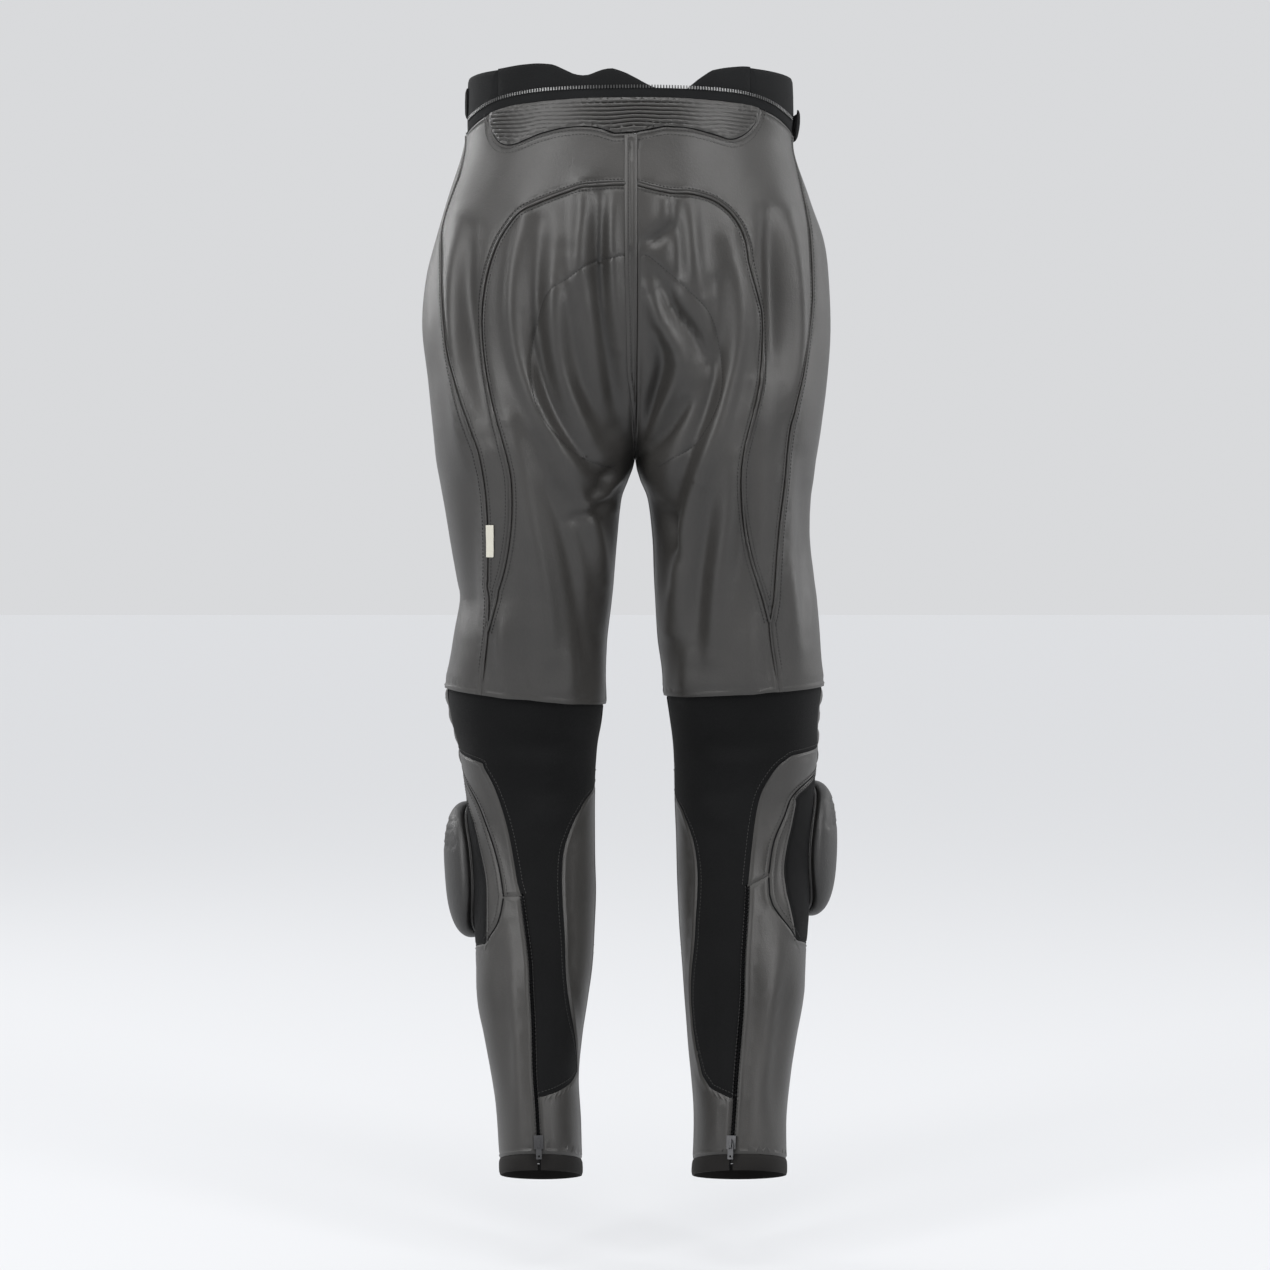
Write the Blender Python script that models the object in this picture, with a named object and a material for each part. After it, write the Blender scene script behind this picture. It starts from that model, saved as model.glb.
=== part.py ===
"""Motorcycle trousers, worn shape, built from cut panels. Metres, +Z up.

The origin is the centre of the waist opening. The back faces -Y and the wearer's right is +X.
Every panel is a region of one surface per side, given by u, round the body, and z, its height.
Above the crotch u runs from the centre back, 0, over the side, 0.5, to the centre front, 1.
Below it u runs right round one leg from the inseam, 0, over the back, side and front, to 1.
"""
import math

import bmesh
import bpy
import numpy as np
from mathutils import Matrix, Vector
from mathutils.geometry import delaunay_2d_cdt

MM = 0.001

# Driving sizes, in millimetres
CROTCH_Z = -330.0
BLEND_TOP_Z = -60.0
FRONT_BLEND_TOP_Z = -200.0
SEAT_BLEND_TOP_Z = -190.0
ARCH_SPREAD_U = 0.12
TOP_BACK_Z = -12.0
TOP_SIDE_DROP = 20.0
BAND_TOP_Z = 20.0
BAND_LAP = 9.0
ARCH_Z = -90.0
LUMBAR_Z = -43.0
KNEE_LINE_Z = -617.0
STRETCH_SIDE_U = 0.49
CUP_LOW_Z = -785.0
CUFF_TOP_Z = -970.0
CUFF_LOW_Z = -984.0
LEATHER = 1.4
CLOTH = 1.2
SEAM_GAP = 0.3
LAYER_GAP = 0.6
EDGE_STEP = 17.0
PANEL_PITCH = 30.0
SMALL_PITCH = 17.0
LUMBAR_RIBS = 7
LUMBAR_RIB = 0.9
KNEE_RIBS = 4
KNEE_RIB = 2.6
SLIDER_TALL = 126.0
SLIDER_WIDE = 66.0
SLIDER_PROUD = 28.0
SLIDER_SEAT = 1.3
PULL_LENGTH = 14.0
SLIDER_ABOVE_CUFF = 10.0
ADJUSTER_TALL = 25.0
# Each tab's lower edge, and how far its outer face stands out: the right one laps the leather
ADJUSTER_PLACES = {"left": (-14.0, 0.0), "right": (-34.0, 3.8)}

# One row for each section: widths to the outer side and the inseam, and the depths
SECTION_COLUMNS = ("z", "left_out", "left_in", "right_out", "right_in",
                   "centre_y", "back", "front", "tilt")
SECTIONS = (
    (40, 157, 0.2, 148, 0.2, 0, 103, 106, 0),
    (-15, 157, 0.2, 148, 0.2, 0, 104, 108, 0),
    (-45, 158, 0.2, 146, 0.2, 0, 108, 110, 0),
    (-90, 173, 0.2, 161, 0.2, 0, 118, 112, 0),
    (-127, 184, 0.2, 174, 0.2, 0, 123, 114, 0),
    (-164, 193, 0.2, 179, 0.2, 0, 125, 115, 0),
    (-210, 197, 0.2, 180, 0.2, 0, 124, 114, 0),
    (-260, 191, 0.2, 177, 0.2, 1, 118, 111, 0),
    (-300, 187, 0.2, 172, 0.2, 3, 111, 107, 0),
    (-330, 184, 0.3, 167, 0.3, 5, 106, 104, 0),
    (-348, 181, 6.5, 165, 4.6, 6, 103, 101, 0),
    (-367, 178, 13.5, 163, 12, 8, 100, 98, 0),
    (-404, 172, 17, 163, 17, 12, 97, 95, 0),
    (-441, 165.5, 20, 167, 18, 16, 94, 92, 0),
    (-460, 163, 22, 169.5, 19, 18, 92, 91, 0),
    (-497, 170, 26.5, 172.5, 21.5, 22, 89, 89, 0),
    (-540, 176, 28, 175, 28, 28, 84, 87, 0),
    (-572, 172, 31, 171.5, 33, 32, 79, 85, 0),
    (-600, 165, 36, 171, 36, 35, 74, 82, 0),
    (-648, 159, 38, 168, 37.5, 37, 69, 78, 1),
    (-700, 155, 37.5, 165, 39.5, 31, 66, 73, 4),
    (-742, 151.5, 37, 163, 40.5, 19, 65, 66, 7),
    (-794, 148, 39.5, 159, 43.5, 1, 63, 61, 10),
    (-828, 146.5, 43.5, 156.5, 46, -11, 60, 58, 12),
    (-863, 139.5, 49, 149.5, 48.5, -22, 57, 55, 14),
    (-898, 132, 52, 142.5, 52, -33, 54, 52, 15.5),
    (-940, 126, 50, 138, 54.5, -46, 51, 50, 17),
    (-1000, 123, 48, 139, 51, -61, 48, 48, 17),
)

# Seams seen on the back, as places across and up, for the left leg and the right
BACK_SEAMS = {
    "lumbar_low": {
        "left": ((18, -44), (36, -38), (59, -37.5), (85, -42), (109, -50), (122, -46.5), (130, -35)),
        "right": ((26, -37.5), (48, -38.5), (70, -43), (87, -46.5), (101, -38.5), (110, -27)),
    },
    "arch": {
        "left": ((31, -90.5), (57, -95), (97, -110), (117, -129), (128, -151), (135.5, -180),
                 (139, -213), (137, -245), (131, -278), (123, -306), (114.6, -334), (111.3, -356),
                 (112.2, -391), (117.7, -426), (125, -452)),
        "right": ((26, -97), (56, -99), (74, -105), (89, -118), (98.7, -138), (102, -162),
                  (108.6, -187), (114, -206), (114, -237), (112, -267), (105, -299.5),
                  (98, -330), (96, -356), (98.7, -386), (105, -421), (113.5, -449)),
    },
    "out_top": {
        "left": ((160, -70), (175.6, -115), (176, -149), (170, -218), (158.4, -270),
                 (147.5, -308), (140.3, -331), (135.5, -366), (134, -409), (134.5, -450)),
        "right": ((147.5, -61), (158, -117), (161, -171), (159, -206), (150.4, -251),
                  (140.4, -304), (136, -350), (131, -391), (128, -438), (126.5, -460)),
    },
    "stretch_outer": {
        "left": ((143, -609), (129.6, -632), (119.6, -660), (113, -687), (107.4, -718)),
        "right": ((146, -602), (132, -611), (121, -626), (114, -641), (109.5, -664), (106, -692)),
    },
    "arc": {
        "left": ((150.6, -641), (136, -673), (125.8, -705)),
        "right": ((150, -637), (138, -660), (128, -683)),
    },
    "arc_low": {
        "left": ((126, -753),),
        "right": ((127, -740),),
    },
    "grip_back": {
        "left": ((152.4, -664), (146, -687), (139.2, -718), (138, -745)),
        "right": ((152, -641), (146, -669), (141.5, -687), (138.5, -709), (141, -731)),
    },
    "stretch_inner": {
        "left": ((45.3, -644), (53.8, -659), (61.2, -676), (66.1, -693), (67.4, -715),
                 (66.5, -738), (64.3, -766), (62.3, -797), (59.2, -825), (55.4, -853)),
        "right": ((42.7, -654), (50.2, -672), (54.8, -688), (57.4, -708), (57.3, -726),
                  (55.8, -750), (54.3, -775), (51.9, -801), (51.3, -825), (53, -848)),
    },
    "stretch_low": {
        "left": ((58.8, -898), (70.7, -902)),
        "right": ((61, -890), (68, -900)),
    },
}

# Corners where the seams of the back meet
CORNERS = {
    "lumbar_end": {"left": (131.6, -22), "right": (112, -20)},
    "merge": {"left": (134.7, -490), "right": (123.3, -481)},
    "hem_out": {"left": (139.4, -543), "right": (131, -540)},
    "zip_top": {"left": (103.6, -730), "right": (102.8, -722)},
    "arc_knot": {"left": (121, -731), "right": (123, -712)},
    "arc_end": {"left": (138.4, -775), "right": (149.5, -772)},
    "stretch_in_low": {"left": (52.3, -891), "right": (56.5, -872)},
    "zip_mid": {"left": (89, -906), "right": (90, -907)},
    "zip_low": {"left": (86, -958), "right": (86, -957)},
}
ZIP_LINE = {
    "left": ((99.7, -755), (94.3, -801), (91.7, -848)),
    "right": ((101.7, -743), (97.8, -801), (95, -848)),
}
HEM_IN_Z = {"left": -557.0, "right": -549.0}
HEM_SIDE_Z = {"left": -542.0, "right": -540.0}
STRETCH_IN_Z = {"left": -632.0, "right": -641.0}
ARC_START_Z = {"left": -601.0, "right": -597.0}
ZIP_GAP = 3.0
CALF_TAPE_WIDE = 8.0
ZIP_SLIDER_SEAT = 0.6
ZIP_SLIDER_SIZE = (8.4, 12.0, 3.2)
BRIDGE_SIZE = (1.8, 7.4, 4.0)
BRIDGE_HOLE_SIZE = (4.0, 4.8, 2.0)
BRIDGE_CENTRE = (0, 1.0, 4.4)
PULL_WIDTH, PULL_THICK, PULL_HEAD = 5.0, 1.1, 0.6
WINDOW_SIZE = (3.0, 4.4, 3.0)
WINDOW_DOWN = 2.8
EYE_SIZE = (1.8, 1.8, 3.0)
EYE_UP = 2.6
TAPE_END_U, TAPE_TALL = 0.43, 8.5
BAND_END_U = 0.995
CLOSING_U, TAB_END_U = 0.93, 0.91
CLOSING_TOP_Z = 13.0
FLY_TOP_Z, FLY_LOW_Z = -30.0, -185.0
TAG_TOP_Z, TAG_TALL, TAG_WIDE = -391.0, 29.0, 6.5
ADJUSTER_U = (0.455, 0.60)
CUP_U, CUP_HALF_U = 0.84, 0.12
CUP_Z, CUP_HALF_TALL = -695.0, 75.0
CUP_SWELL = 5.0
# One turn in u is drawn as this many units when a panel is cut into triangles
FLAT_SCALE = 500.0

# The puck's middle on each side, its oval bulge, and its rings: size of the rim, part of the height
SLIDER_PLACES = {"left": (0.565, -712.0), "right": (0.565, -693.0)}
SLIDER_BULGE = 0.06
SLIDER_CROWN = 0.4
SLIDER_RINGS = ((0.25, 0.0), (0.5, 0.0), (0.75, 0.0), (1.0, 0.0), (1.02, 0.22), (0.97, 0.40),
                (0.99, 0.56), (0.90, 0.72), (0.74, 0.88), (0.50, 0.97), (0.25, 1.0))

# The slumped top edge of the back elastic: place across and height
ELASTIC_WAVES = (
    (-125, 21), (-106, 22), (-88, 22), (-74, 20), (-54, 10), (-44, 8.5), (-30, 14), (-20, 15),
    (-7, 10), (8, 2), (18, -3), (34, -5), (46, -4), (56, 5), (70, 15), (82, 18), (100, 21),
    (118, 21),
)

# The largest folds: a line on the back, its width, and how far it stands out or sinks
FOLD_COLUMNS = ("side", "x1", "z1", "x2", "z2", "width", "height")
FOLDS = (
    ("left", 36, -100, 26, -190, 12, 4.5),
    ("left", 24, -105, 14, -300, 10, -6.0),
    ("left", 104, -300, 42, -450, 15, 4.0),
    ("left", 82, -300, 55, -390, 12, -4.0),
    ("left", 50, -365, 14, -350, 9, -4.0),
    ("left", 132, -180, 128, -290, 10, -3.0),
    ("right", 12, -130, 34, -124, 8, -2.5),
    ("right", 14, -200, 50, -240, 12, -4.5),
    ("right", 30, -240, 10, -290, 11, 4.0),
    ("right", 122, -125, 124, -225, 12, -4.0),
    ("right", 68, -310, 44, -490, 14, 3.5),
    ("right", 92, -390, 66, -470, 12, -4.0),
)

COLOURS = {
    "leather": ((0.075, 0.073, 0.068, 1), 0.42, 0.0),
    "stretch": ((0.014, 0.0145, 0.0145, 1), 0.9, 0.0),
    "webbing": ((0.018, 0.02, 0.02, 1), 0.8, 0.0),
    "trim": ((0.03, 0.029, 0.028, 1), 0.75, 0.0),
    "tag": ((0.62, 0.60, 0.53, 1), 0.8, 0.0),
    "puck": ((0.05, 0.05, 0.05, 1), 0.45, 0.0),
    "metal": ((0.32, 0.32, 0.33, 1), 0.3, 1.0),
}
SIDES = ("left", "right")
OTHER = {"left": "right", "right": "left"}


def smooth_through(points, count):
    """A smooth curve through the points, sampled evenly in its parameter."""
    points = np.array(points, dtype=float)
    if len(points) == 1:
        return points
    ends = np.vstack([2 * points[0] - points[1], points, 2 * points[-1] - points[-2]])
    curve = []
    for i in range(len(points) - 1):
        p0, p1, p2, p3 = ends[i:i + 4]
        for t in np.linspace(0, 1, count, endpoint=False):
            curve.append(0.5 * (2 * p1 + (p2 - p0) * t + (2 * p0 - 5 * p1 + 4 * p2 - p3) * t * t
                                + (3 * p1 - 3 * p2 + p3 - p0) * t ** 3))
    curve.append(points[-1])
    return np.array(curve)


def evenly(points, step):
    """Points at even spacing along a curve, with both of its ends."""
    points = np.array(points, dtype=float)
    scale = np.array([girth(points[:, 1].mean()), 1.0])
    lengths = np.linalg.norm(np.diff(points * scale, axis=0), axis=1)
    along = np.concatenate([[0], np.cumsum(lengths)])
    count = max(1, int(round(along[-1] / step)))
    stations = np.linspace(0, along[-1], count + 1)
    return np.column_stack([np.interp(stations, along, points[:, k]) for k in (0, 1)])


SECTION_CURVE = smooth_through(SECTIONS, 12)[::-1]


def section(column, z):
    return np.interp(z, SECTION_CURVE[:, 0], SECTION_CURVE[:, SECTION_COLUMNS.index(column)])


def girth(z):
    """Half the girth of the body above the crotch, or the girth of a leg below it."""
    across = section("left_out", z) - section("left_in", z)
    return 2.6 * (across + 0.5 * section("back", z) + 0.5 * section("front", z)) * 0.6


def base_surface(side, u, z):
    """The smooth surface of one side, before its folds.

    Towards the crotch the half body turns into a leg: as an arch near the centre seams, and
    as an even slope over the seat and the side.
    """
    inner = section(side + "_in", z)
    outer = section(side + "_out", z)
    blend_top = np.where(u > 0.5, FRONT_BLEND_TOP_Z, BLEND_TOP_Z)
    part = np.clip((blend_top - z) / (blend_top - CROTCH_Z), 0, 1)
    arch = 1 - np.sqrt(1 - part ** 2)
    part = np.clip((SEAT_BLEND_TOP_Z - z) / (SEAT_BLEND_TOP_Z - CROTCH_Z), 0, 1)
    slope = part * part * (3 - 2 * part)
    near = np.exp(-(np.minimum(u, 1 - u) / ARCH_SPREAD_U) ** 2)
    legs = near * arch + (1 - near) * slope
    angle = np.pi * u
    across = (1 - legs) * np.sin(angle) + legs * np.sin(angle) ** 2
    swing = (1 - legs) * np.cos(angle) + legs * np.sin(2 * angle)
    depth = np.where(swing > 0, section("back", z), section("front", z))
    x = inner + (outer - inner) * across
    away = -depth * swing
    height = z - away * np.tan(np.radians(section("tilt", z)))
    sign = 1.0 if side == "right" else -1.0
    return np.stack([sign * x, section("centre_y", z) + away, height], axis=-1)


def wrapped(side, u, z):
    """The surface for any u: over the centre seams to the other side, or on round the leg."""
    above = z > CROTCH_Z
    own = base_surface(side, np.where(above, np.clip(u, 0, 1), u % 1.0), z)
    if np.all((u >= 0) & (u <= 1)):
        return own
    mirrored = np.where(u < 0, -u, 2 - u)
    over = base_surface(OTHER[side], np.clip(mirrored, 0, 1), z)
    crossed = (above & ((u < 0) | (u > 1)))[..., None]
    return np.where(crossed, over, own)


def normals_of(function, u, z, sign):
    du, dz = 0.002, 0.4
    along = function(u + du, z) - function(u - du, z)
    up = function(u, z + dz) - function(u, z - dz)
    normal = np.cross(along, up) * sign
    return normal / np.maximum(np.linalg.norm(normal, axis=-1, keepdims=True), 1e-9)


def fold_height(side, point):
    """How far the folds raise or sink each point of the back."""
    height = np.zeros(point.shape[:-1])
    across = np.abs(point[..., 0])
    own = (point[..., 0] > 0) == (side == "right")
    behind = np.clip(-(point[..., 1] - 5) / 30, 0, 1)
    for row in FOLDS:
        fold = dict(zip(FOLD_COLUMNS, row))
        if fold["side"] != side:
            continue
        start = np.array([fold["x1"], fold["z1"]])
        line = np.array([fold["x2"], fold["z2"]]) - start
        offset = np.stack([across, point[..., 2]], axis=-1) - start
        part = np.clip(offset @ line / (line @ line), 0, 1)
        apart = np.linalg.norm(offset - part[..., None] * line, axis=-1)
        taper = np.sin(np.pi * np.clip(part, 0.06, 0.94)) ** 0.6
        height += fold["height"] * taper * np.exp(-(apart / fold["width"]) ** 2) * own
    near_seam = np.clip(across / 9.0, 0, 1)
    return height * behind * near_seam


def surface(side, u, z):
    """Points and outward normals in millimetres."""
    sign = 1.0 if side == "right" else -1.0

    def folded(a, b):
        point = wrapped(side, a, b)
        normal = normals_of(lambda c, d: wrapped(side, c, d), a, b, sign)
        return point + normal * fold_height(side, point)[..., None]

    u = np.asarray(u, dtype=float)
    z = np.asarray(z, dtype=float)
    return folded(u, z), normals_of(folded, u, z, sign)


def on_back(side, x, z):
    """The surface's u and z for places seen across and up on the back."""
    x, z = np.asarray(x, dtype=float), np.asarray(z, dtype=float)
    level = z
    for _ in range(5):
        low, high = np.zeros(x.shape), np.full(x.shape, 0.5)
        for _ in range(30):
            middle = (low + high) / 2
            short = np.abs(base_surface(side, middle, level)[..., 0]) < x
            low, high = np.where(short, middle, low), np.where(short, high, middle)
        level = level + z - base_surface(side, low, level)[..., 2]
    return low, level


def top_edge(u):
    """The height of the leather's top edge, which dips at the sides."""
    return TOP_BACK_Z - TOP_SIDE_DROP * math.sin(math.pi * min(abs(u), 1)) ** 6


def seam(side, name, start, end):
    """A seam between two corners, smooth where it is seen from behind."""
    seen = smooth_through(BACK_SEAMS[name][side], 6)
    u, z = on_back(side, seen[:, 0], seen[:, 1])
    return evenly(smooth_through([start, *zip(u, z), end], 3), EDGE_STEP)


def level_run(u_start, u_end, z_of_u, step=EDGE_STEP):
    """A run round the body at a height that may change with u."""
    us = np.linspace(u_start, u_end, 40)
    return evenly([(u, z_of_u(u)) for u in us], step)


def side_runs(side):
    """Every seam of one side as a run of points, shared by the panels that meet there."""
    corner = {name: on_back(side, *places[side]) for name, places in CORNERS.items()}
    lumbar_u = corner["lumbar_end"][0]
    lumbar_end = (lumbar_u, top_edge(lumbar_u))
    side_top_u = 0.46
    side_top = (side_top_u, top_edge(side_top_u))
    hem_in, hem_side = HEM_IN_Z[side], HEM_SIDE_Z[side]
    hem_out = corner["hem_out"]
    stretch_in = (0.0, STRETCH_IN_Z[side])
    arc_start = (STRETCH_SIDE_U, ARC_START_Z[side])
    knee_side = (0.505, KNEE_LINE_Z)
    grip_top = (0.53, KNEE_LINE_Z)
    grip_front = (0.71, KNEE_LINE_Z)
    cup_out = (0.71, CUP_LOW_Z)
    cuff_front = (0.66, CUFF_TOP_Z)

    def hem_height(u):
        return hem_side + (hem_in - hem_side) * math.cos(math.pi * u) ** 2

    zip_points = [corner["zip_top"]]
    zip_points += [on_back(side, x, z) for x, z in ZIP_LINE[side]]
    zip_points += [corner["zip_mid"], (corner["zip_low"][0], CUFF_TOP_Z)]
    zip_line = smooth_through(zip_points, 8)
    half = ZIP_GAP / 2 / girth(zip_line[:, 1].mean())
    split = np.argmin(np.abs(zip_line[:, 1] - corner["zip_mid"][1]))
    outer_zip = evenly(zip_line + [half, 0], EDGE_STEP)
    inner_zip = np.vstack([evenly(zip_line[:split + 1] - [half, 0], EDGE_STEP),
                           evenly(zip_line[split:] - [half, 0], EDGE_STEP)[1:]])
    inner_split = np.argmin(np.abs(inner_zip[:, 1] - zip_line[split, 1]))

    marks = [ARCH_Z, LUMBAR_Z, CROTCH_Z, hem_in, stretch_in[1], KNEE_LINE_Z, CUP_LOW_Z, CUFF_TOP_Z,
             -308, -318, -324, -327.5, -329.3, -331.5, -337, -347, CUFF_LOW_Z]
    extra = [level for level in np.arange(-60, CUFF_TOP_Z, -20.0)
             if min(abs(level - mark) for mark in marks) > 7]
    levels = sorted(marks + extra, reverse=True)

    def upright(u, z_top, z_low):
        inside = [z for z in levels if z_low < z < z_top]
        return np.array([(u, z) for z in [z_top, *inside, z_low]])

    middle_arc = [on_back(side, x, z) for x, z in BACK_SEAMS["arc"][side]]
    runs = {
        "lumbar_low": seam(side, "lumbar_low", (0.0, LUMBAR_Z), lumbar_end),
        "top_yoke": level_run(lumbar_u, side_top_u, top_edge),
        "top_front": level_run(side_top_u, 1.0, top_edge),
        "top_lumbar": level_run(0.0, lumbar_u, top_edge, 12.0),
        "arch": seam(side, "arch", (0.0, ARCH_Z), corner["merge"]),
        "out_top": seam(side, "out_top", side_top, corner["merge"]),
        "out_low": evenly([corner["merge"], hem_out], EDGE_STEP),
        "cb_mid": upright(0.0, LUMBAR_Z, ARCH_Z),
        "cb_low": upright(0.0, ARCH_Z, CROTCH_Z),
        "cf": upright(1.0, top_edge(1.0), CROTCH_Z),
        "inseam_back": upright(0.0, CROTCH_Z, hem_in),
        "inseam_front": upright(1.0, CROTCH_Z, hem_in),
        "hem_back": level_run(0.0, hem_out[0], hem_height),
        "hem_side": level_run(hem_out[0], STRETCH_SIDE_U, hem_height),
        "hem_front": level_run(STRETCH_SIDE_U, 1.0, hem_height),
        "stretch_side": evenly([(STRETCH_SIDE_U, hem_height(STRETCH_SIDE_U)), arc_start], EDGE_STEP),
        "stretch_outer": seam(side, "stretch_outer", arc_start, corner["zip_top"]),
        "knee_corner": np.array([arc_start, knee_side]),
        "knot": np.array([corner["zip_top"], corner["arc_knot"]]),
        "arc": evenly(smooth_through([knee_side, *middle_arc, corner["arc_knot"]], 8), EDGE_STEP),
        "arc_low": seam(side, "arc_low", corner["arc_knot"], corner["arc_end"]),
        "knee_tip": np.array([knee_side, grip_top]),
        "grip_back": seam(side, "grip_back", grip_top, corner["arc_end"]),
        "grip_top": evenly([grip_top, grip_front], EDGE_STEP),
        "grip_front": upright(0.71, KNEE_LINE_Z, CUP_LOW_Z),
        "grip_low": evenly([corner["arc_end"], cup_out], EDGE_STEP),
        "knee_line": evenly([grip_front, (1.0, KNEE_LINE_Z)], EDGE_STEP),
        "cup_low": evenly([cup_out, (1.0, CUP_LOW_Z)], EDGE_STEP),
        "shin_out": evenly([cup_out, cuff_front], EDGE_STEP),
        "stretch_in_up": upright(0.0, hem_in, stretch_in[1]),
        "ribs_in": upright(1.0, hem_in, KNEE_LINE_Z),
        "cup_in": upright(1.0, KNEE_LINE_Z, CUP_LOW_Z),
        "shin_in": upright(1.0, CUP_LOW_Z, CUFF_TOP_Z),
        "calf_in": upright(0.0, stretch_in[1], CUFF_TOP_Z),
        "stretch_inner": seam(side, "stretch_inner", stretch_in, corner["stretch_in_low"]),
        "inner_zip": inner_zip[:inner_split + 1],
        "cuff_zip": inner_zip[inner_split:],
        "stretch_low": seam(side, "stretch_low", corner["stretch_in_low"], inner_zip[inner_split]),
        "cuff_back": evenly([inner_zip[-1], (0.0, CUFF_TOP_Z)], EDGE_STEP),
        "cuff_front": evenly([(1.0, CUFF_TOP_Z), cuff_front], EDGE_STEP),
        "cuff_side": evenly([cuff_front, outer_zip[-1]], EDGE_STEP),
    }
    runs["zip_line"] = zip_line
    knot = corner["arc_knot"][0] - corner["zip_top"][0], corner["arc_knot"][1] - corner["zip_top"][1]
    outer_zip[0] = corner["zip_top"] + np.array(knot) * half / knot[0]
    runs["outer_zip"] = outer_zip
    runs["knot_low"] = np.array([outer_zip[0], corner["arc_knot"]])
    runs["stretch_to_zip"] = runs["stretch_outer"][:-1]
    return runs


def ring(runs, *names):
    """A closed outline from runs, each taken forwards, or backwards after a minus sign."""
    points = []
    for name in names:
        run = runs[name.lstrip("-")]
        if name.startswith("-"):
            run = run[::-1]
        for point in run:
            if not points or np.abs(np.array(points[-1]) - point).max() > 1e-6:
                points.append(tuple(point))
    if np.abs(np.array(points[0]) - points[-1]).max() < 1e-6:
        points.pop()
    return np.array(points)


def without_repeats(points):
    """The outline with each point that repeats the one before it left out."""
    apart = np.abs(points - np.roll(points, 1, axis=0)) * [FLAT_SCALE, 1.0]
    return points[apart.max(axis=1) > 0.05]


def shoelace(points):
    x, y = points[:, 0], points[:, 1]
    return 0.5 * np.sum(x * np.roll(y, -1) - np.roll(x, -1) * y)


def inset(side, outline, gap):
    """Draws an outline in by a real distance, measured on the surface."""
    turn = 1.0 if shoelace(outline) > 0 else -1.0
    du, dz = 0.002, 0.5
    u, z = outline[:, 0], outline[:, 1]
    u_in = np.clip(u, 0.004, 0.996)
    wide = np.linalg.norm(wrapped(side, u_in + du, z) - wrapped(side, u_in - du, z), axis=1) / (2 * du)
    tall = np.linalg.norm(wrapped(side, u_in, z + dz) - wrapped(side, u_in, z - dz), axis=1) / (2 * dz)
    result = []
    count = len(outline)
    for i in range(count):
        scale = np.array([wide[i], tall[i]])
        back = (outline[i] - outline[i - 1]) * scale
        ahead = (outline[(i + 1) % count] - outline[i]) * scale
        back /= np.linalg.norm(back)
        ahead /= np.linalg.norm(ahead)
        normal_back = turn * np.array([-back[1], back[0]])
        normal_ahead = turn * np.array([-ahead[1], ahead[0]])
        bisector = normal_back + normal_ahead
        size = bisector @ bisector
        shift = bisector * (2 / size) if size > 0.03 else normal_back
        shift *= min(1.0, 6.0 / np.linalg.norm(shift))
        result.append(outline[i] + shift * gap / scale)
    return np.array(result)


def inside(outline, point):
    x, y = point
    x1, y1 = outline[:, 0], outline[:, 1]
    x2, y2 = np.roll(x1, -1), np.roll(y1, -1)
    crosses = (y1 > y) != (y2 > y)
    with np.errstate(divide="ignore", invalid="ignore"):
        at = x1 + (y - y1) * (x2 - x1) / (y2 - y1)
    return bool(np.sum(crosses & (x < at)) % 2)


def clearance(outline, point, scale):
    a = outline * scale
    b = np.roll(a, -1, axis=0)
    p = np.array(point) * scale
    line = b - a
    part = np.clip(np.sum((p - a) * line, axis=1) / np.maximum(np.sum(line * line, axis=1), 1e-12), 0, 1)
    return np.min(np.linalg.norm(p - (a + part[:, None] * line), axis=1))


def lattice(outline, pitch_u, pitch_z):
    """Staggered points inside an outline, on rows of constant height."""
    points = []
    levels = list(np.arange(outline[:, 1].max() - pitch_z * 0.7, outline[:, 1].min(), -pitch_z))
    for row, z in enumerate(levels):
        scale = np.array([girth(z), 1.0])
        step = pitch_u / scale[0]
        start = math.floor(outline[:, 0].min() / step) * step + (row % 2) * step / 2
        for u in np.arange(start, outline[:, 0].max(), step):
            margin = 0.4 * min(pitch_u, pitch_z)
            if inside(outline, (u, z)) and clearance(outline, (u, z), scale) > margin:
                points.append((u, z))
    return points


def finish(name, verts, faces, look, smooth=True):
    """Adds a closed mesh as a named object with its material."""
    mesh = bpy.data.meshes.new(name)
    mesh.from_pydata([tuple(v) for v in verts], [], faces)
    shape = bmesh.new()
    shape.from_mesh(mesh)
    bmesh.ops.recalc_face_normals(shape, faces=shape.faces)
    if shape.calc_volume(signed=True) < 0:
        bmesh.ops.reverse_faces(shape, faces=shape.faces)
    shape.to_mesh(mesh)
    shape.free()
    if smooth:
        mesh.shade_smooth()
        mesh.set_sharp_from_angle(angle=math.radians(40))
    thing = bpy.data.objects.new(name, mesh)
    bpy.data.collections[COLLECTION].objects.link(thing)
    mesh.materials.append(material(look))
    return thing


def material(look):
    made = bpy.data.materials.get(look)
    if made:
        return made
    colour, roughness, metallic = COLOURS[look]
    made = bpy.data.materials.new(look)
    made.use_nodes = True
    shader = made.node_tree.nodes["Principled BSDF"]
    shader.inputs["Base Color"].default_value = colour
    shader.inputs["Roughness"].default_value = roughness
    shader.inputs["Metallic"].default_value = metallic
    return made


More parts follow.
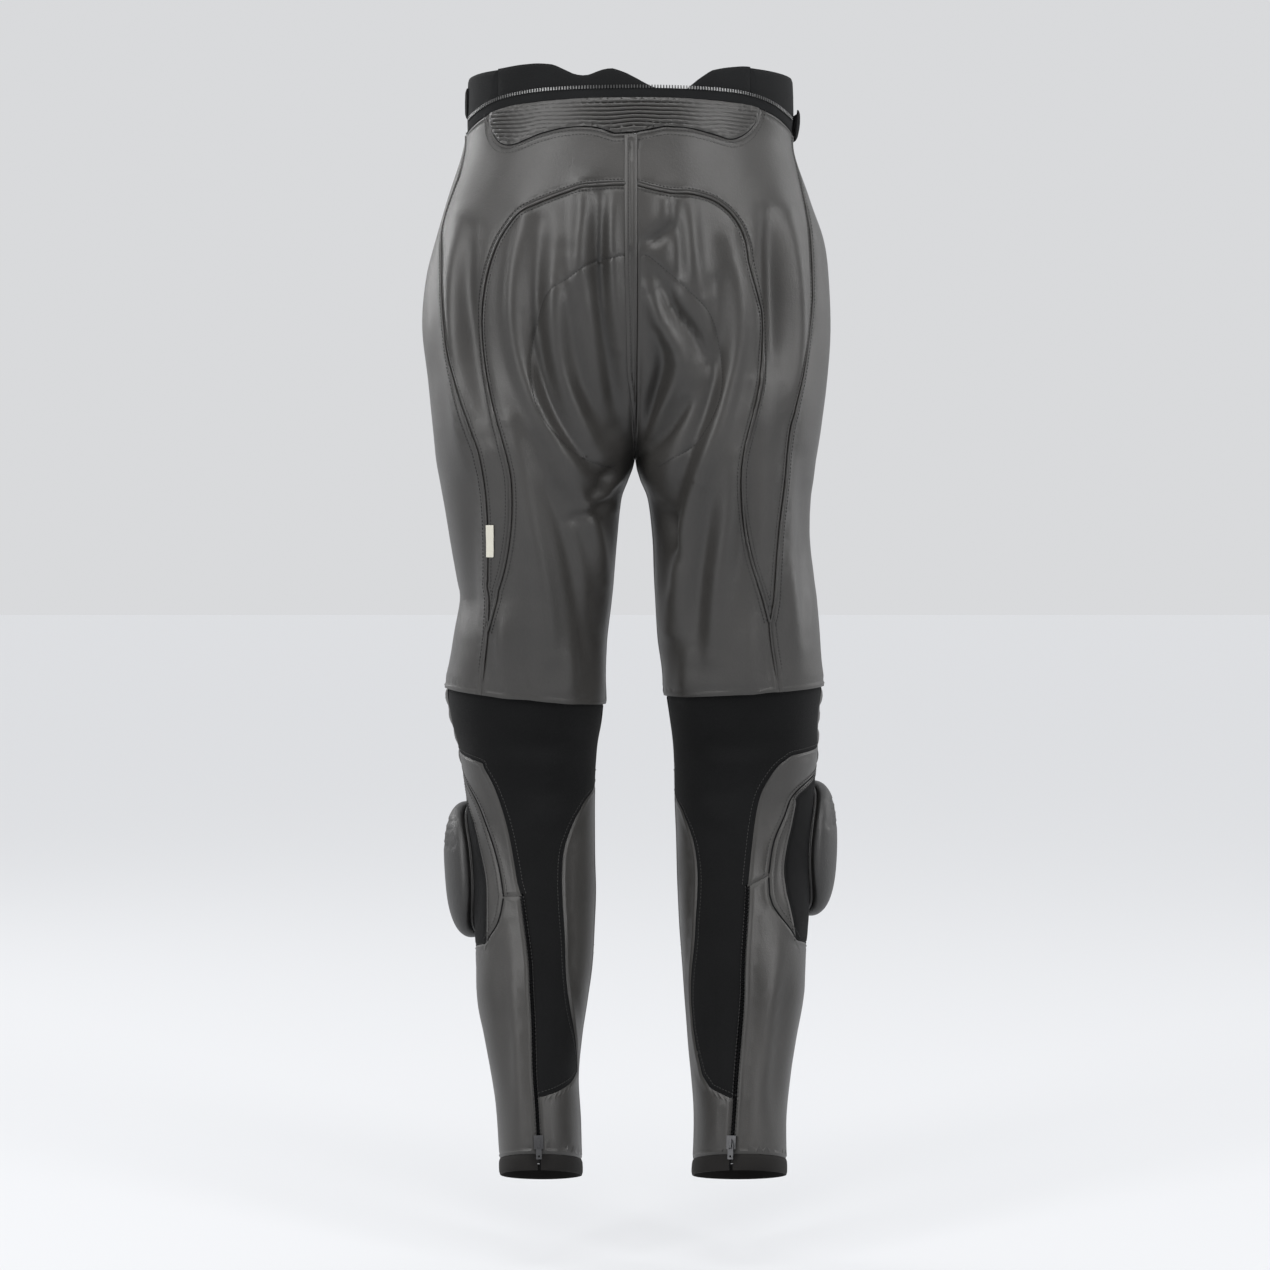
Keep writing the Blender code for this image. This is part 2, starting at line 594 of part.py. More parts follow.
def panel(name, side, outline, look, thick=LEATHER, lift=0.0, pitch=PANEL_PITCH, pitch_z=None,
          relief=None, extra=(), gap=SEAM_GAP / 2):
    """A cloth wall over an outline: outer skin, inner skin and the cut edge between them."""
    edge = inset(side, without_repeats(outline), gap)
    scale = np.array([FLAT_SCALE, 1.0])
    points = list(edge) + lattice(edge, pitch, pitch_z or pitch)
    points += [p for p in extra if inside(edge, p) and clearance(edge, p, scale) > 3.0]
    flat = [Vector((p[0] * scale[0], p[1])) for p in points]
    count = len(edge)
    loop = [(i, (i + 1) % count) for i in range(count)]
    verts, _, faces, *_ = delaunay_2d_cdt(flat, loop, [list(range(count))], 1, 1e-5)
    u = np.array([v.x / scale[0] for v in verts])
    z = np.array([v.y for v in verts])
    place, normal = surface(side, u, z)
    raised = np.zeros(len(u)) if relief is None else relief(u, z)
    outer = place + normal * (lift + raised)[:, None]
    inner = place + normal * (lift - thick)
    if 0 <= outline[:, 0].min() and outline[:, 0].max() <= 1:
        sign = 1.0 if side == "right" else -1.0
        for skin in (outer, inner):
            skin[:, 0] = sign * np.maximum(sign * skin[:, 0], SEAM_GAP / 2)
    total = len(u)
    triangles = [tuple(f) for f in faces]
    walls = list(triangles)
    walls += [tuple(i + total for i in reversed(f)) for f in triangles]
    used = {}
    for f in triangles:
        for a, b in zip(f, f[1:] + f[:1]):
            used[(a, b)] = True
    for a, b in used:
        if (b, a) not in used:
            walls.append((b, a, a + total, b + total))
    return finish(name, np.vstack([outer, inner]) * MM, walls, look)


def lumbar_relief(u, z):
    """Shirred ribs that fade towards the panel's edge."""
    low, high = LUMBAR_Z, TOP_BACK_Z
    part = (z - low) / (high - low)
    wave = 0.5 - 0.5 * np.cos(2 * np.pi * LUMBAR_RIBS * part)
    return LUMBAR_RIB * wave * np.clip((0.36 - np.abs(u)) / 0.04, 0, 1)


def knee_relief(u, z):
    """Accordion ribs across the front, above the knee."""
    part = (z - KNEE_LINE_Z) / (HEM_SIDE_Z["left"] - KNEE_LINE_Z)
    wave = 0.5 - 0.5 * np.cos(2 * np.pi * KNEE_RIBS * part)
    fade = np.clip((u - 0.53) / 0.05, 0, 1) * np.clip((0.96 - u) / 0.05, 0, 1)
    return KNEE_RIB * wave * fade


def cup_relief(u, z):
    """The padded swell over the kneecap."""
    away = ((u - CUP_U) / CUP_HALF_U) ** 2 + ((z - CUP_Z) / CUP_HALF_TALL) ** 2
    return CUP_SWELL * np.clip(1 - away, 0, 1) ** 0.7


def leg_panels(side, runs):
    """The cut panels of one side, from the hips to the cuff."""
    near_crotch = [(u, CROTCH_Z + up) for up in (30, 16, 7) for u in (0.03, 0.07, 0.12)]
    front_crotch = [(1 - u, z) for u, z in near_crotch]

    def cut(name, names, look="leather", **options):
        panel(name + "_" + side, side, ring(runs, *names), look, **options)

    cut("yoke", ("cb_mid", "arch", "-out_top", "-top_yoke", "-lumbar_low"), pitch=26)
    cut("seat", ("cb_low", "inseam_back", "hem_back", "-out_low", "-arch"), extra=near_crotch)
    cut("front_thigh", ("top_front", "cf", "inseam_front", "-hem_front", "-hem_side", "-out_low",
                        "-out_top"), pitch=27, extra=front_crotch)
    cut("knee_stretch", ("hem_back", "hem_side", "stretch_side", "stretch_to_zip", "inner_zip",
                         "-stretch_low", "-stretch_inner", "-stretch_in_up"), "stretch",
        thick=CLOTH, pitch=26)
    cut("knee_ribs", ("hem_front", "ribs_in", "-knee_line", "-grip_top", "-knee_tip",
                      "-knee_corner", "-stretch_side"), pitch=24, pitch_z=8.6, relief=knee_relief)
    cut("knee_side", ("stretch_outer", "knot", "-arc", "-knee_corner"), pitch=SMALL_PITCH)
    cut("knee_arc", ("arc", "arc_low", "-grip_back", "-knee_tip"), pitch=SMALL_PITCH)
    cut("grip_panel", ("grip_back", "grip_low", "-grip_front", "-grip_top"), "webbing",
        thick=CLOTH, pitch=SMALL_PITCH)
    cut("knee_cup", ("knee_line", "cup_in", "-cup_low", "-grip_front"), pitch=20,
        relief=cup_relief)
    cut("shin", ("cup_low", "shin_in", "cuff_front", "-shin_out"), pitch=28)
    cut("calf_outer", ("outer_zip", "-cuff_side", "-shin_out", "-grip_low", "-arc_low",
                       "-knot_low"), pitch=24)
    cut("calf_inner", ("stretch_inner", "stretch_low", "cuff_zip", "cuff_back", "-calf_in"),
        pitch=24)


def cuff_band(side, runs):
    """The hem band, once round the ankle from one side of the zip to the other."""
    top = np.vstack([runs["cuff_back"], runs["cuff_front"][1:] - [1, 0],
                     runs["cuff_side"][1:] - [1, 0]])
    low = top[::-1].copy()
    low[:, 1] = CUFF_LOW_Z
    panel("hem_band_" + side, side, np.vstack([top, low]), "trim", thick=2.2, lift=0.5, pitch=60)


def calf_zip(side, runs):
    """The zip's tape, behind the two edges that it joins."""
    line = evenly(runs["zip_line"], EDGE_STEP)
    half = CALF_TAPE_WIDE / 2 / girth(line[:, 1].mean())
    end = np.array([[0.0, 3.0], *[[0.0, 0.0]] * (len(line) - 2), [0.0, 2.0]])
    outline = np.vstack([line + end + [half, 0], (line + end - [half, 0])[::-1]])
    panel("calf_zip_" + side, side, outline, "webbing", thick=0.8, lift=-LEATHER - 3 * LAYER_GAP,
          pitch=60)


def knee_slider(side):
    """The hard puck on the grip panel, with two grooves round its edge."""
    middle_u, middle_z = SLIDER_PLACES[side]
    spokes = 26
    angles = np.arange(spokes) * 2 * np.pi / spokes
    bulge = 1.0 + SLIDER_BULGE * np.cos(2 * angles)
    verts, faces = [], []
    for size, height in SLIDER_RINGS:
        u = middle_u + np.cos(angles) * size * bulge * SLIDER_WIDE / 2 / girth(middle_z)
        z = middle_z + np.sin(angles) * size * bulge * SLIDER_TALL / 2
        place, normal = surface(side, u, z)
        mean = normal.mean(axis=0)
        mean /= np.linalg.norm(mean)
        rise = SLIDER_SEAT + height * SLIDER_PROUD
        blend = normal * (1 - height) + mean * height
        verts.extend(place + blend * rise)
    count = len(SLIDER_RINGS)
    for r in range(count - 1):
        for k in range(spokes):
            n = (k + 1) % spokes
            faces.append((r * spokes + k, r * spokes + n, (r + 1) * spokes + n, (r + 1) * spokes + k))
    for r, size in ((0, 0.0), (count - 1, 1.0)):
        place, normal = surface(side, np.array([middle_u]), np.array([middle_z]))
        verts.append(place[0] + normal[0] * (SLIDER_SEAT + size * (SLIDER_PROUD + SLIDER_CROWN)))
        centre = len(verts) - 1
        for k in range(spokes):
            faces.append((r * spokes + k, r * spokes + (k + 1) % spokes, centre))
    finish("knee_slider_" + side, np.array(verts) * MM, faces, "puck")


def local_frame(side, u, z, lift):
    """Origin on the surface, with x across, y down the leg and z outwards."""
    place, normal = surface(side, np.array([u]), np.array([z]))
    below, _ = surface(side, np.array([u]), np.array([z - 4]))
    out = Vector(normal[0]).normalized()
    down = Vector(below[0] - place[0])
    down = (down - out * down.dot(out)).normalized()
    across = down.cross(out)
    frame = Matrix((across, down, out)).transposed().to_4x4()
    frame.translation = (Vector(place[0]) + out * lift) * MM
    return frame


def block(name, size, centre, look):
    bpy.ops.mesh.primitive_cube_add(size=1)
    thing = bpy.context.object
    thing.name = name
    thing.data.name = name
    thing.data.transform(Matrix.Translation(Vector(centre) * MM)
                         @ Matrix.Diagonal((*[s * MM for s in size], 1)))
    for collection in list(thing.users_collection):
        collection.objects.unlink(thing)
    bpy.data.collections[COLLECTION].objects.link(thing)
    thing.data.materials.append(material(look))
    return thing


def cut_or_join(thing, other, operation):
    other.hide_render = True
    other.display_type = "WIRE"
    bpy.data.collections[COLLECTION].objects.unlink(other)
    bpy.data.collections[CUTTERS].objects.link(other)
    change = thing.modifiers.new(other.name, "BOOLEAN")
    change.operation = operation
    change.object = other


def zip_slider(side, runs):
    """The calf zip's slider with its bridge, and the pull tab that swings on the bridge."""
    line = runs["zip_line"]
    z = CUFF_TOP_Z + SLIDER_ABOVE_CUFF
    u = float(np.interp(-z, -line[:, 1], line[:, 0]))
    frame = local_frame(side, u, z, ZIP_SLIDER_SEAT)
    body = block("zip_slider_" + side, ZIP_SLIDER_SIZE, (0, 0, ZIP_SLIDER_SIZE[2] / 2), "metal")
    bridge = block("bridge_" + side, BRIDGE_SIZE, BRIDGE_CENTRE, "metal")
    hole = block("bridge_hole_" + side, BRIDGE_HOLE_SIZE, BRIDGE_CENTRE, "metal")
    axis = Vector(BRIDGE_CENTRE) * MM
    for piece in (body, bridge, hole):
        piece.matrix_world = frame
    cut_or_join(body, bridge, "UNION")
    cut_or_join(body, hole, "DIFFERENCE")
    pull = block("zip_pull_" + side, (PULL_WIDTH, PULL_LENGTH + PULL_HEAD, PULL_THICK),
                 (0, (PULL_LENGTH - PULL_HEAD) / 2, 0), "metal")
    window = block("pull_window_" + side, WINDOW_SIZE, (0, WINDOW_DOWN, 0), "metal")
    eye = block("pull_eye_" + side, EYE_SIZE, (0, PULL_LENGTH - EYE_UP, 0), "metal")
    hinge = bpy.data.objects.new("hinge_" + side, None)
    bpy.data.collections[COLLECTION].objects.link(hinge)
    hinge.matrix_world = frame @ Matrix.Translation(axis)
    for piece in (pull, window, eye):
        piece.parent = hinge
    cut_or_join(pull, window, "DIFFERENCE")
    cut_or_join(pull, eye, "DIFFERENCE")


def elastic_top(side, u):
    """The slumped wavy top edge of the back elastic."""
    place = base_surface(side, np.array(abs(u)), np.array(0.0))
    across, height = zip(*ELASTIC_WAVES)
    return float(np.interp(place[0], across, height))


def waist(runs):
    """The elastic, the joining zip's tape, the stiff side bands and the front closing."""
    behind = -LEATHER - 2 * LAYER_GAP
    step = 12.0

    def signed_outline(u_from, u_to, top, low):
        upper = level_run(u_from, u_to, top, step)
        lower = upper[::-1].copy()
        lower[:, 1] = [low(u) for u in lower[:, 0]]
        return np.vstack([upper, lower])

    def tucked(u):
        return top_edge(u if abs(u) <= 1 else 2 - u) - BAND_LAP

    ends = {side: float(runs[side]["top_lumbar"][-1][0]) for side in SIDES}
    lumbar = np.vstack([
        runs["right"]["top_lumbar"],
        runs["right"]["lumbar_low"][::-1],
        runs["left"]["lumbar_low"][1:] * [-1, 1],
        runs["left"]["top_lumbar"][::-1][1:-1] * [-1, 1],
    ])
    panel("back_lumbar", "right", lumbar, "leather", pitch=14, pitch_z=2.05,
          relief=lumbar_relief)
    rear = {side: ends[side] - 0.02 for side in SIDES}

    def wave(u):
        return elastic_top("right" if u >= 0 else "left", u)

    outline = signed_outline(-rear["left"], rear["right"], wave, tucked)
    panel("back_elastic", "right", outline, "webbing", thick=CLOTH, lift=behind, pitch=14)
    tape = signed_outline(-TAPE_END_U, TAPE_END_U, lambda u: top_edge(u) + TAPE_TALL, top_edge)
    panel("waist_zip_tape", "right", tape, "webbing", thick=0.9, pitch=30)
    for side in SIDES:
        band = signed_outline(rear[side], BAND_END_U, lambda u: BAND_TOP_Z, tucked)
        panel("waist_side_" + side, side, band, "webbing", thick=2.0, lift=behind, pitch=22)
        tab_low, tab_lift = ADJUSTER_PLACES[side]
        tab = signed_outline(*ADJUSTER_U, lambda u: tab_low + ADJUSTER_TALL, lambda u: tab_low)
        panel("waist_adjuster_" + side, side, tab, "webbing", thick=2.0, lift=tab_lift, pitch=12)
    closing = signed_outline(CLOSING_U, 2 - TAB_END_U, lambda u: CLOSING_TOP_Z, lambda u: TOP_BACK_Z)
    panel("waist_tab", "right", closing, "webbing", thick=2.0, pitch=12)
    flap = signed_outline(CLOSING_U, BAND_END_U, lambda u: FLY_TOP_Z, lambda u: FLY_LOW_Z)
    panel("fly_flap", "right", flap, "leather", lift=LEATHER + 3 * LAYER_GAP, pitch=10)


def side_tag(runs):
    """A blank woven tag caught in the left outer seam."""
    line = np.vstack([runs["out_top"], runs["out_low"][1:]])
    zs = np.linspace(TAG_TOP_Z, TAG_TOP_Z - TAG_TALL, 4)
    us = np.interp(-zs, -line[:, 1], line[:, 0])
    width = TAG_WIDE / girth(TAG_TOP_Z)
    outline = np.vstack([np.column_stack([us, zs]), np.column_stack([us - width, zs])[::-1]])
    panel("side_tag", "left", outline, "tag", thick=0.8, lift=0.8 + LAYER_GAP, pitch=30)


COLLECTION = "motorcycle_trousers"
CUTTERS = "cutters"
for old in list(bpy.data.objects):
    bpy.data.objects.remove(old, do_unlink=True)
for collection_name in (COLLECTION, CUTTERS):
    if collection_name not in bpy.data.collections:
        made_collection = bpy.data.collections.new(collection_name)
        bpy.context.scene.collection.children.link(made_collection)

all_runs = {side: side_runs(side) for side in SIDES}
for side_name in SIDES:
    leg_panels(side_name, all_runs[side_name])
    cuff_band(side_name, all_runs[side_name])
    calf_zip(side_name, all_runs[side_name])
    knee_slider(side_name)
    zip_slider(side_name, all_runs[side_name])
waist(all_runs)
side_tag(all_runs["left"])
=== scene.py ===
"""Motorcycle trousers in their worn shape: leather, stretch cloth, seams, zips and pucks.

The panels repeat the construction of the solids: one surface per side, given by u, round the
body, and z, its height, in millimetres. They are cut finer, with creases, seam grooves,
piping and stitching, and each one stands for its solid.
"""
import math

import bpy
import numpy as np
from mathutils import Matrix, Vector
from mathutils.geometry import delaunay_2d_cdt


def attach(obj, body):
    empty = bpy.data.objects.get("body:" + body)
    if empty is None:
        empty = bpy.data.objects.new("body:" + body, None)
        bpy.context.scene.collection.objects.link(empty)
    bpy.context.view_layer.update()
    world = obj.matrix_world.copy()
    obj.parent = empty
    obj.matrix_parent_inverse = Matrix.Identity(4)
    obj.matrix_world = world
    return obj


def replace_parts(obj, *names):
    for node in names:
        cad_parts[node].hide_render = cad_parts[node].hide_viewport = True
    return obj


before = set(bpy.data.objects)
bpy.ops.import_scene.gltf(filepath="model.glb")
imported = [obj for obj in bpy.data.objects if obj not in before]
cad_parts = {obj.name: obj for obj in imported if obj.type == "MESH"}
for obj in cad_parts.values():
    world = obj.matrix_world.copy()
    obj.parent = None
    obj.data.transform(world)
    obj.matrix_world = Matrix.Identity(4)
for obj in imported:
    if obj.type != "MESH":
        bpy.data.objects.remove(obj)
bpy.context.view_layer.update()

MM = 0.001
CROTCH_Z = -330.0
BLEND_TOP_Z = -60.0
FRONT_BLEND_TOP_Z = -200.0
SEAT_BLEND_TOP_Z = -190.0
ARCH_SPREAD_U = 0.12
TOP_BACK_Z = -12.0
TOP_SIDE_DROP = 20.0
BAND_TOP_Z = 20.0
BAND_LAP = 9.0
ARCH_Z = -90.0
LUMBAR_Z = -43.0
KNEE_LINE_Z = -617.0
STRETCH_SIDE_U = 0.49
SIDE_TOP_U = 0.46
KNEE_SIDE_U = 0.505
GRIP_TOP_U, GRIP_FRONT_U = 0.53, 0.71
CUFF_FRONT_U = 0.66
# Closer levels round the crotch, where the two halves part into legs
CROTCH_LEVELS = (-308, -318, -324, -327.5, -329.3, -331.5, -337, -347)
CUP_LOW_Z = -785.0
CUFF_TOP_Z = -970.0
CUFF_LOW_Z = -984.0
LEATHER = 1.4
CLOTH = 1.2
SEAM_GAP = 0.3
LAYER_GAP = 0.6
KNEE_RIBS = 4
KNEE_RIB = 2.6
SLIDER_TALL = 126.0
SLIDER_WIDE = 66.0
SLIDER_PROUD = 28.0
SLIDER_SEAT = 1.3
ADJUSTER_TALL = 25.0
EDGE_STEP = 5.0
PANEL_PITCH = 7.0
FINE_PITCH = 4.0
BODY = "garment"
STITCH_PITCH = 3.3
STITCH_LONG = 2.4
STITCH_THICK = 0.42
PIPING_RADIUS = 1.25
LUMBAR_ROWS = 9
EDGE_RINGS = (1.2, 2.6, 4.2, 5.8)
# The puck: size of each ring against its rim, and part of its height; levels of its grooves
PUCK_PROFILE = ((0.3, 0.0), (0.7, 0.0), (0.97, 0.0), (0.985, 0.02), (0.985, 0.07), (0.955, 0.09),
                (0.955, 0.11), (0.99, 0.13), (1.02, 0.2), (1.03, 0.31), (1.02, 0.43),
                (0.985, 0.55), (0.93, 0.66), (0.85, 0.76), (0.74, 0.85), (0.61, 0.92),
                (0.46, 0.965), (0.3, 0.99), (0.14, 1.0))
PUCK_GROOVES = (24.0, 31.0, 38.0, 45.0)
# Beside a seam: its groove, the ridge of the turned edge, and the stitched line
GROOVE_REACH = 1.5
SWELL_REACH = 8.0
EDGE_RIDGE, EDGE_RELIEF = 2.7, 0.45
STITCH_LINE = 4.2
WELT_LEFT, WELT_RIGHT = 7.6, 1.8
WELT_LOW_Z = -316.0
HEM_FLARE = 2.4
HEM_STITCH = 5.8
HEM_REACH = 16.0
CAMERA_DISTANCE = 2.6
CAMERA_Z = -0.4225
CAMERA_TILT = math.atan(75 / 2800)
FOCAL_PIXELS = 2800
FRAME_PIXELS = 1270
FLOOR_Z = -1.062
FLOOR_COLOUR = (0.22, 0.222, 0.226, 1)
FLOOR_LIGHT = (0.70, 0.71, 0.73, 1)
BACKDROP = 0.70
OVERHEAD = 0.3
BEHIND_CAMERA = 0.26
FLOOR_GLOW = 0.80
BACKDROP_TINT = (0.99, 1.0, 1.02)
LIT_PLACE = (0, 0, -0.45)
# The soft lights: name, place, size and power
LIGHTS = (
    ("left_box", (-1.9, -1.7, 0.8), (0.6, 2.2), 46),
    ("right_box", (1.9, -1.7, 0.8), (0.6, 2.2), 40),
    ("top_box", (0, -1.0, 2.0), (1.6, 0.7), 26),
    ("far_left_box", (-2.1, 1.5, 0.9), (0.6, 2.0), 34),
    ("far_right_box", (2.3, 1.2, 0.4), (0.6, 2.0), 14),
)
# The materials' large cloud of unevenness and their grain
CLOUD_SCALE = 14
CLOUD_SPAN = (0.3, 0.7)
CELL_SHADE = (0.82, 1.05)
GRAIN_DEPTH = 0.0006
# Zip teeth: length, width, height and spacing in millimetres
CALF_TOOTH, CALF_TOOTH_PITCH = (1.15, 2.2, 1.5), 1.7
WAIST_TOOTH, WAIST_TOOTH_PITCH = (1.3, 1.7, 2.9), 2.6
CORD_AROUND = 8
CORD_PITCH = 4.0
PUCK_SPOKES = 96


# Each tab's lower edge, and how far its outer face stands out
ADJUSTER_PLACES = {"left": (-14.0, 0.0), "right": (-34.0, 3.8)}

# One row for each section: widths to the outer side and the inseam, and the depths
SECTION_COLUMNS = ("z", "left_out", "left_in", "right_out", "right_in",
                   "centre_y", "back", "front", "tilt")
SECTIONS = (
    (40, 157, 0.2, 148, 0.2, 0, 103, 106, 0),
    (-15, 157, 0.2, 148, 0.2, 0, 104, 108, 0),
    (-45, 158, 0.2, 146, 0.2, 0, 108, 110, 0),
    (-90, 173, 0.2, 161, 0.2, 0, 118, 112, 0),
    (-127, 184, 0.2, 174, 0.2, 0, 123, 114, 0),
    (-164, 193, 0.2, 179, 0.2, 0, 125, 115, 0),
    (-210, 197, 0.2, 180, 0.2, 0, 124, 114, 0),
    (-260, 191, 0.2, 177, 0.2, 1, 118, 111, 0),
    (-300, 187, 0.2, 172, 0.2, 3, 111, 107, 0),
    (-330, 184, 0.3, 167, 0.3, 5, 106, 104, 0),
    (-348, 181, 6.5, 165, 4.6, 6, 103, 101, 0),
    (-367, 178, 13.5, 163, 12, 8, 100, 98, 0),
    (-404, 172, 17, 163, 17, 12, 97, 95, 0),
    (-441, 165.5, 20, 167, 18, 16, 94, 92, 0),
    (-460, 163, 22, 169.5, 19, 18, 92, 91, 0),
    (-497, 170, 26.5, 172.5, 21.5, 22, 89, 89, 0),
    (-540, 176, 28, 175, 28, 28, 84, 87, 0),
    (-572, 172, 31, 171.5, 33, 32, 79, 85, 0),
    (-600, 165, 36, 171, 36, 35, 74, 82, 0),
    (-648, 159, 38, 168, 37.5, 37, 69, 78, 1),
    (-700, 155, 37.5, 165, 39.5, 31, 66, 73, 4),
    (-742, 151.5, 37, 163, 40.5, 19, 65, 66, 7),
    (-794, 148, 39.5, 159, 43.5, 1, 63, 61, 10),
    (-828, 146.5, 43.5, 156.5, 46, -11, 60, 58, 12),
    (-863, 139.5, 49, 149.5, 48.5, -22, 57, 55, 14),
    (-898, 132, 52, 142.5, 52, -33, 54, 52, 15.5),
    (-940, 126, 50, 138, 54.5, -46, 51, 50, 17),
    (-1000, 123, 48, 139, 51, -61, 48, 48, 17),
)

# Seams seen on the back, as places across and up, for the left leg and the right
BACK_SEAMS = {
    "lumbar_low": {
        "left": ((18, -44), (36, -38), (59, -37.5), (85, -42), (109, -50), (122, -46.5), (130, -35)),
        "right": ((26, -37.5), (48, -38.5), (70, -43), (87, -46.5), (101, -38.5), (110, -27)),
    },
    "arch": {
        "left": ((31, -90.5), (57, -95), (97, -110), (117, -129), (128, -151), (135.5, -180),
                 (139, -213), (137, -245), (131, -278), (123, -306), (114.6, -334), (111.3, -356),
                 (112.2, -391), (117.7, -426), (125, -452)),
        "right": ((26, -97), (56, -99), (74, -105), (89, -118), (98.7, -138), (102, -162),
                  (108.6, -187), (114, -206), (114, -237), (112, -267), (105, -299.5),
                  (98, -330), (96, -356), (98.7, -386), (105, -421), (113.5, -449)),
    },
    "out_top": {
        "left": ((160, -70), (175.6, -115), (176, -149), (170, -218), (158.4, -270),
                 (147.5, -308), (140.3, -331), (135.5, -366), (134, -409), (134.5, -450)),
        "right": ((147.5, -61), (158, -117), (161, -171), (159, -206), (150.4, -251),
                  (140.4, -304), (136, -350), (131, -391), (128, -438), (126.5, -460)),
    },
    "stretch_outer": {
        "left": ((143, -609), (129.6, -632), (119.6, -660), (113, -687), (107.4, -718)),
        "right": ((146, -602), (132, -611), (121, -626), (114, -641), (109.5, -664), (106, -692)),
    },
    "arc": {
        "left": ((150.6, -641), (136, -673), (125.8, -705)),
        "right": ((150, -637), (138, -660), (128, -683)),
    },
    "arc_low": {
        "left": ((126, -753),),
        "right": ((127, -740),),
    },
    "grip_back": {
        "left": ((152.4, -664), (146, -687), (139.2, -718), (138, -745)),
        "right": ((152, -641), (146, -669), (141.5, -687), (138.5, -709), (141, -731)),
    },
    "stretch_inner": {
        "left": ((45.3, -644), (53.8, -659), (61.2, -676), (66.1, -693), (67.4, -715),
                 (66.5, -738), (64.3, -766), (62.3, -797), (59.2, -825), (55.4, -853)),
        "right": ((42.7, -654), (50.2, -672), (54.8, -688), (57.4, -708), (57.3, -726),
                  (55.8, -750), (54.3, -775), (51.9, -801), (51.3, -825), (53, -848)),
    },
    "stretch_low": {
        "left": ((58.8, -898), (70.7, -902)),
        "right": ((61, -890), (68, -900)),
    },
}

# Corners where the seams of the back meet
CORNERS = {
    "lumbar_end": {"left": (131.6, -22), "right": (112, -20)},
    "merge": {"left": (134.7, -490), "right": (123.3, -481)},
    "hem_out": {"left": (139.4, -543), "right": (131, -540)},
    "zip_top": {"left": (103.6, -730), "right": (102.8, -722)},
    "arc_knot": {"left": (121, -731), "right": (123, -712)},
    "arc_end": {"left": (138.4, -775), "right": (149.5, -772)},
    "stretch_in_low": {"left": (52.3, -891), "right": (56.5, -872)},
    "zip_mid": {"left": (89, -906), "right": (90, -907)},
    "zip_low": {"left": (86, -958), "right": (86, -957)},
}
ZIP_LINE = {
    "left": ((99.7, -755), (94.3, -801), (91.7, -848)),
    "right": ((101.7, -743), (97.8, -801), (95, -848)),
}
HEM_IN_Z = {"left": -557.0, "right": -549.0}
HEM_SIDE_Z = {"left": -542.0, "right": -540.0}
STRETCH_IN_Z = {"left": -632.0, "right": -641.0}
ARC_START_Z = {"left": -601.0, "right": -597.0}
ZIP_GAP = 3.0
CALF_TAPE_WIDE = 8.0
TAPE_END_U, TAPE_TALL = 0.43, 8.5
BAND_END_U = 0.995
CLOSING_U, TAB_END_U = 0.93, 0.91
CLOSING_TOP_Z = 13.0
FLY_TOP_Z, FLY_LOW_Z = -30.0, -185.0
TAG_TOP_Z, TAG_TALL, TAG_WIDE = -391.0, 29.0, 6.5
ADJUSTER_U = (0.455, 0.60)
CUP_U, CUP_HALF_U = 0.84, 0.12
CUP_Z, CUP_HALF_TALL = -695.0, 75.0
CUP_SWELL = 5.0
FLAT_SCALE = 500.0
SLIDER_PLACES = {"left": (0.565, -712.0), "right": (0.565, -693.0)}
SLIDER_BULGE = 0.06
ELASTIC_WAVES = (
    (-125, 21), (-106, 22), (-88, 22), (-74, 20), (-54, 10), (-44, 8.5), (-30, 14), (-20, 15),
    (-7, 10), (8, 2), (18, -3), (34, -5), (46, -4), (56, 5), (70, 15), (82, 18), (100, 21),
    (118, 21),
)

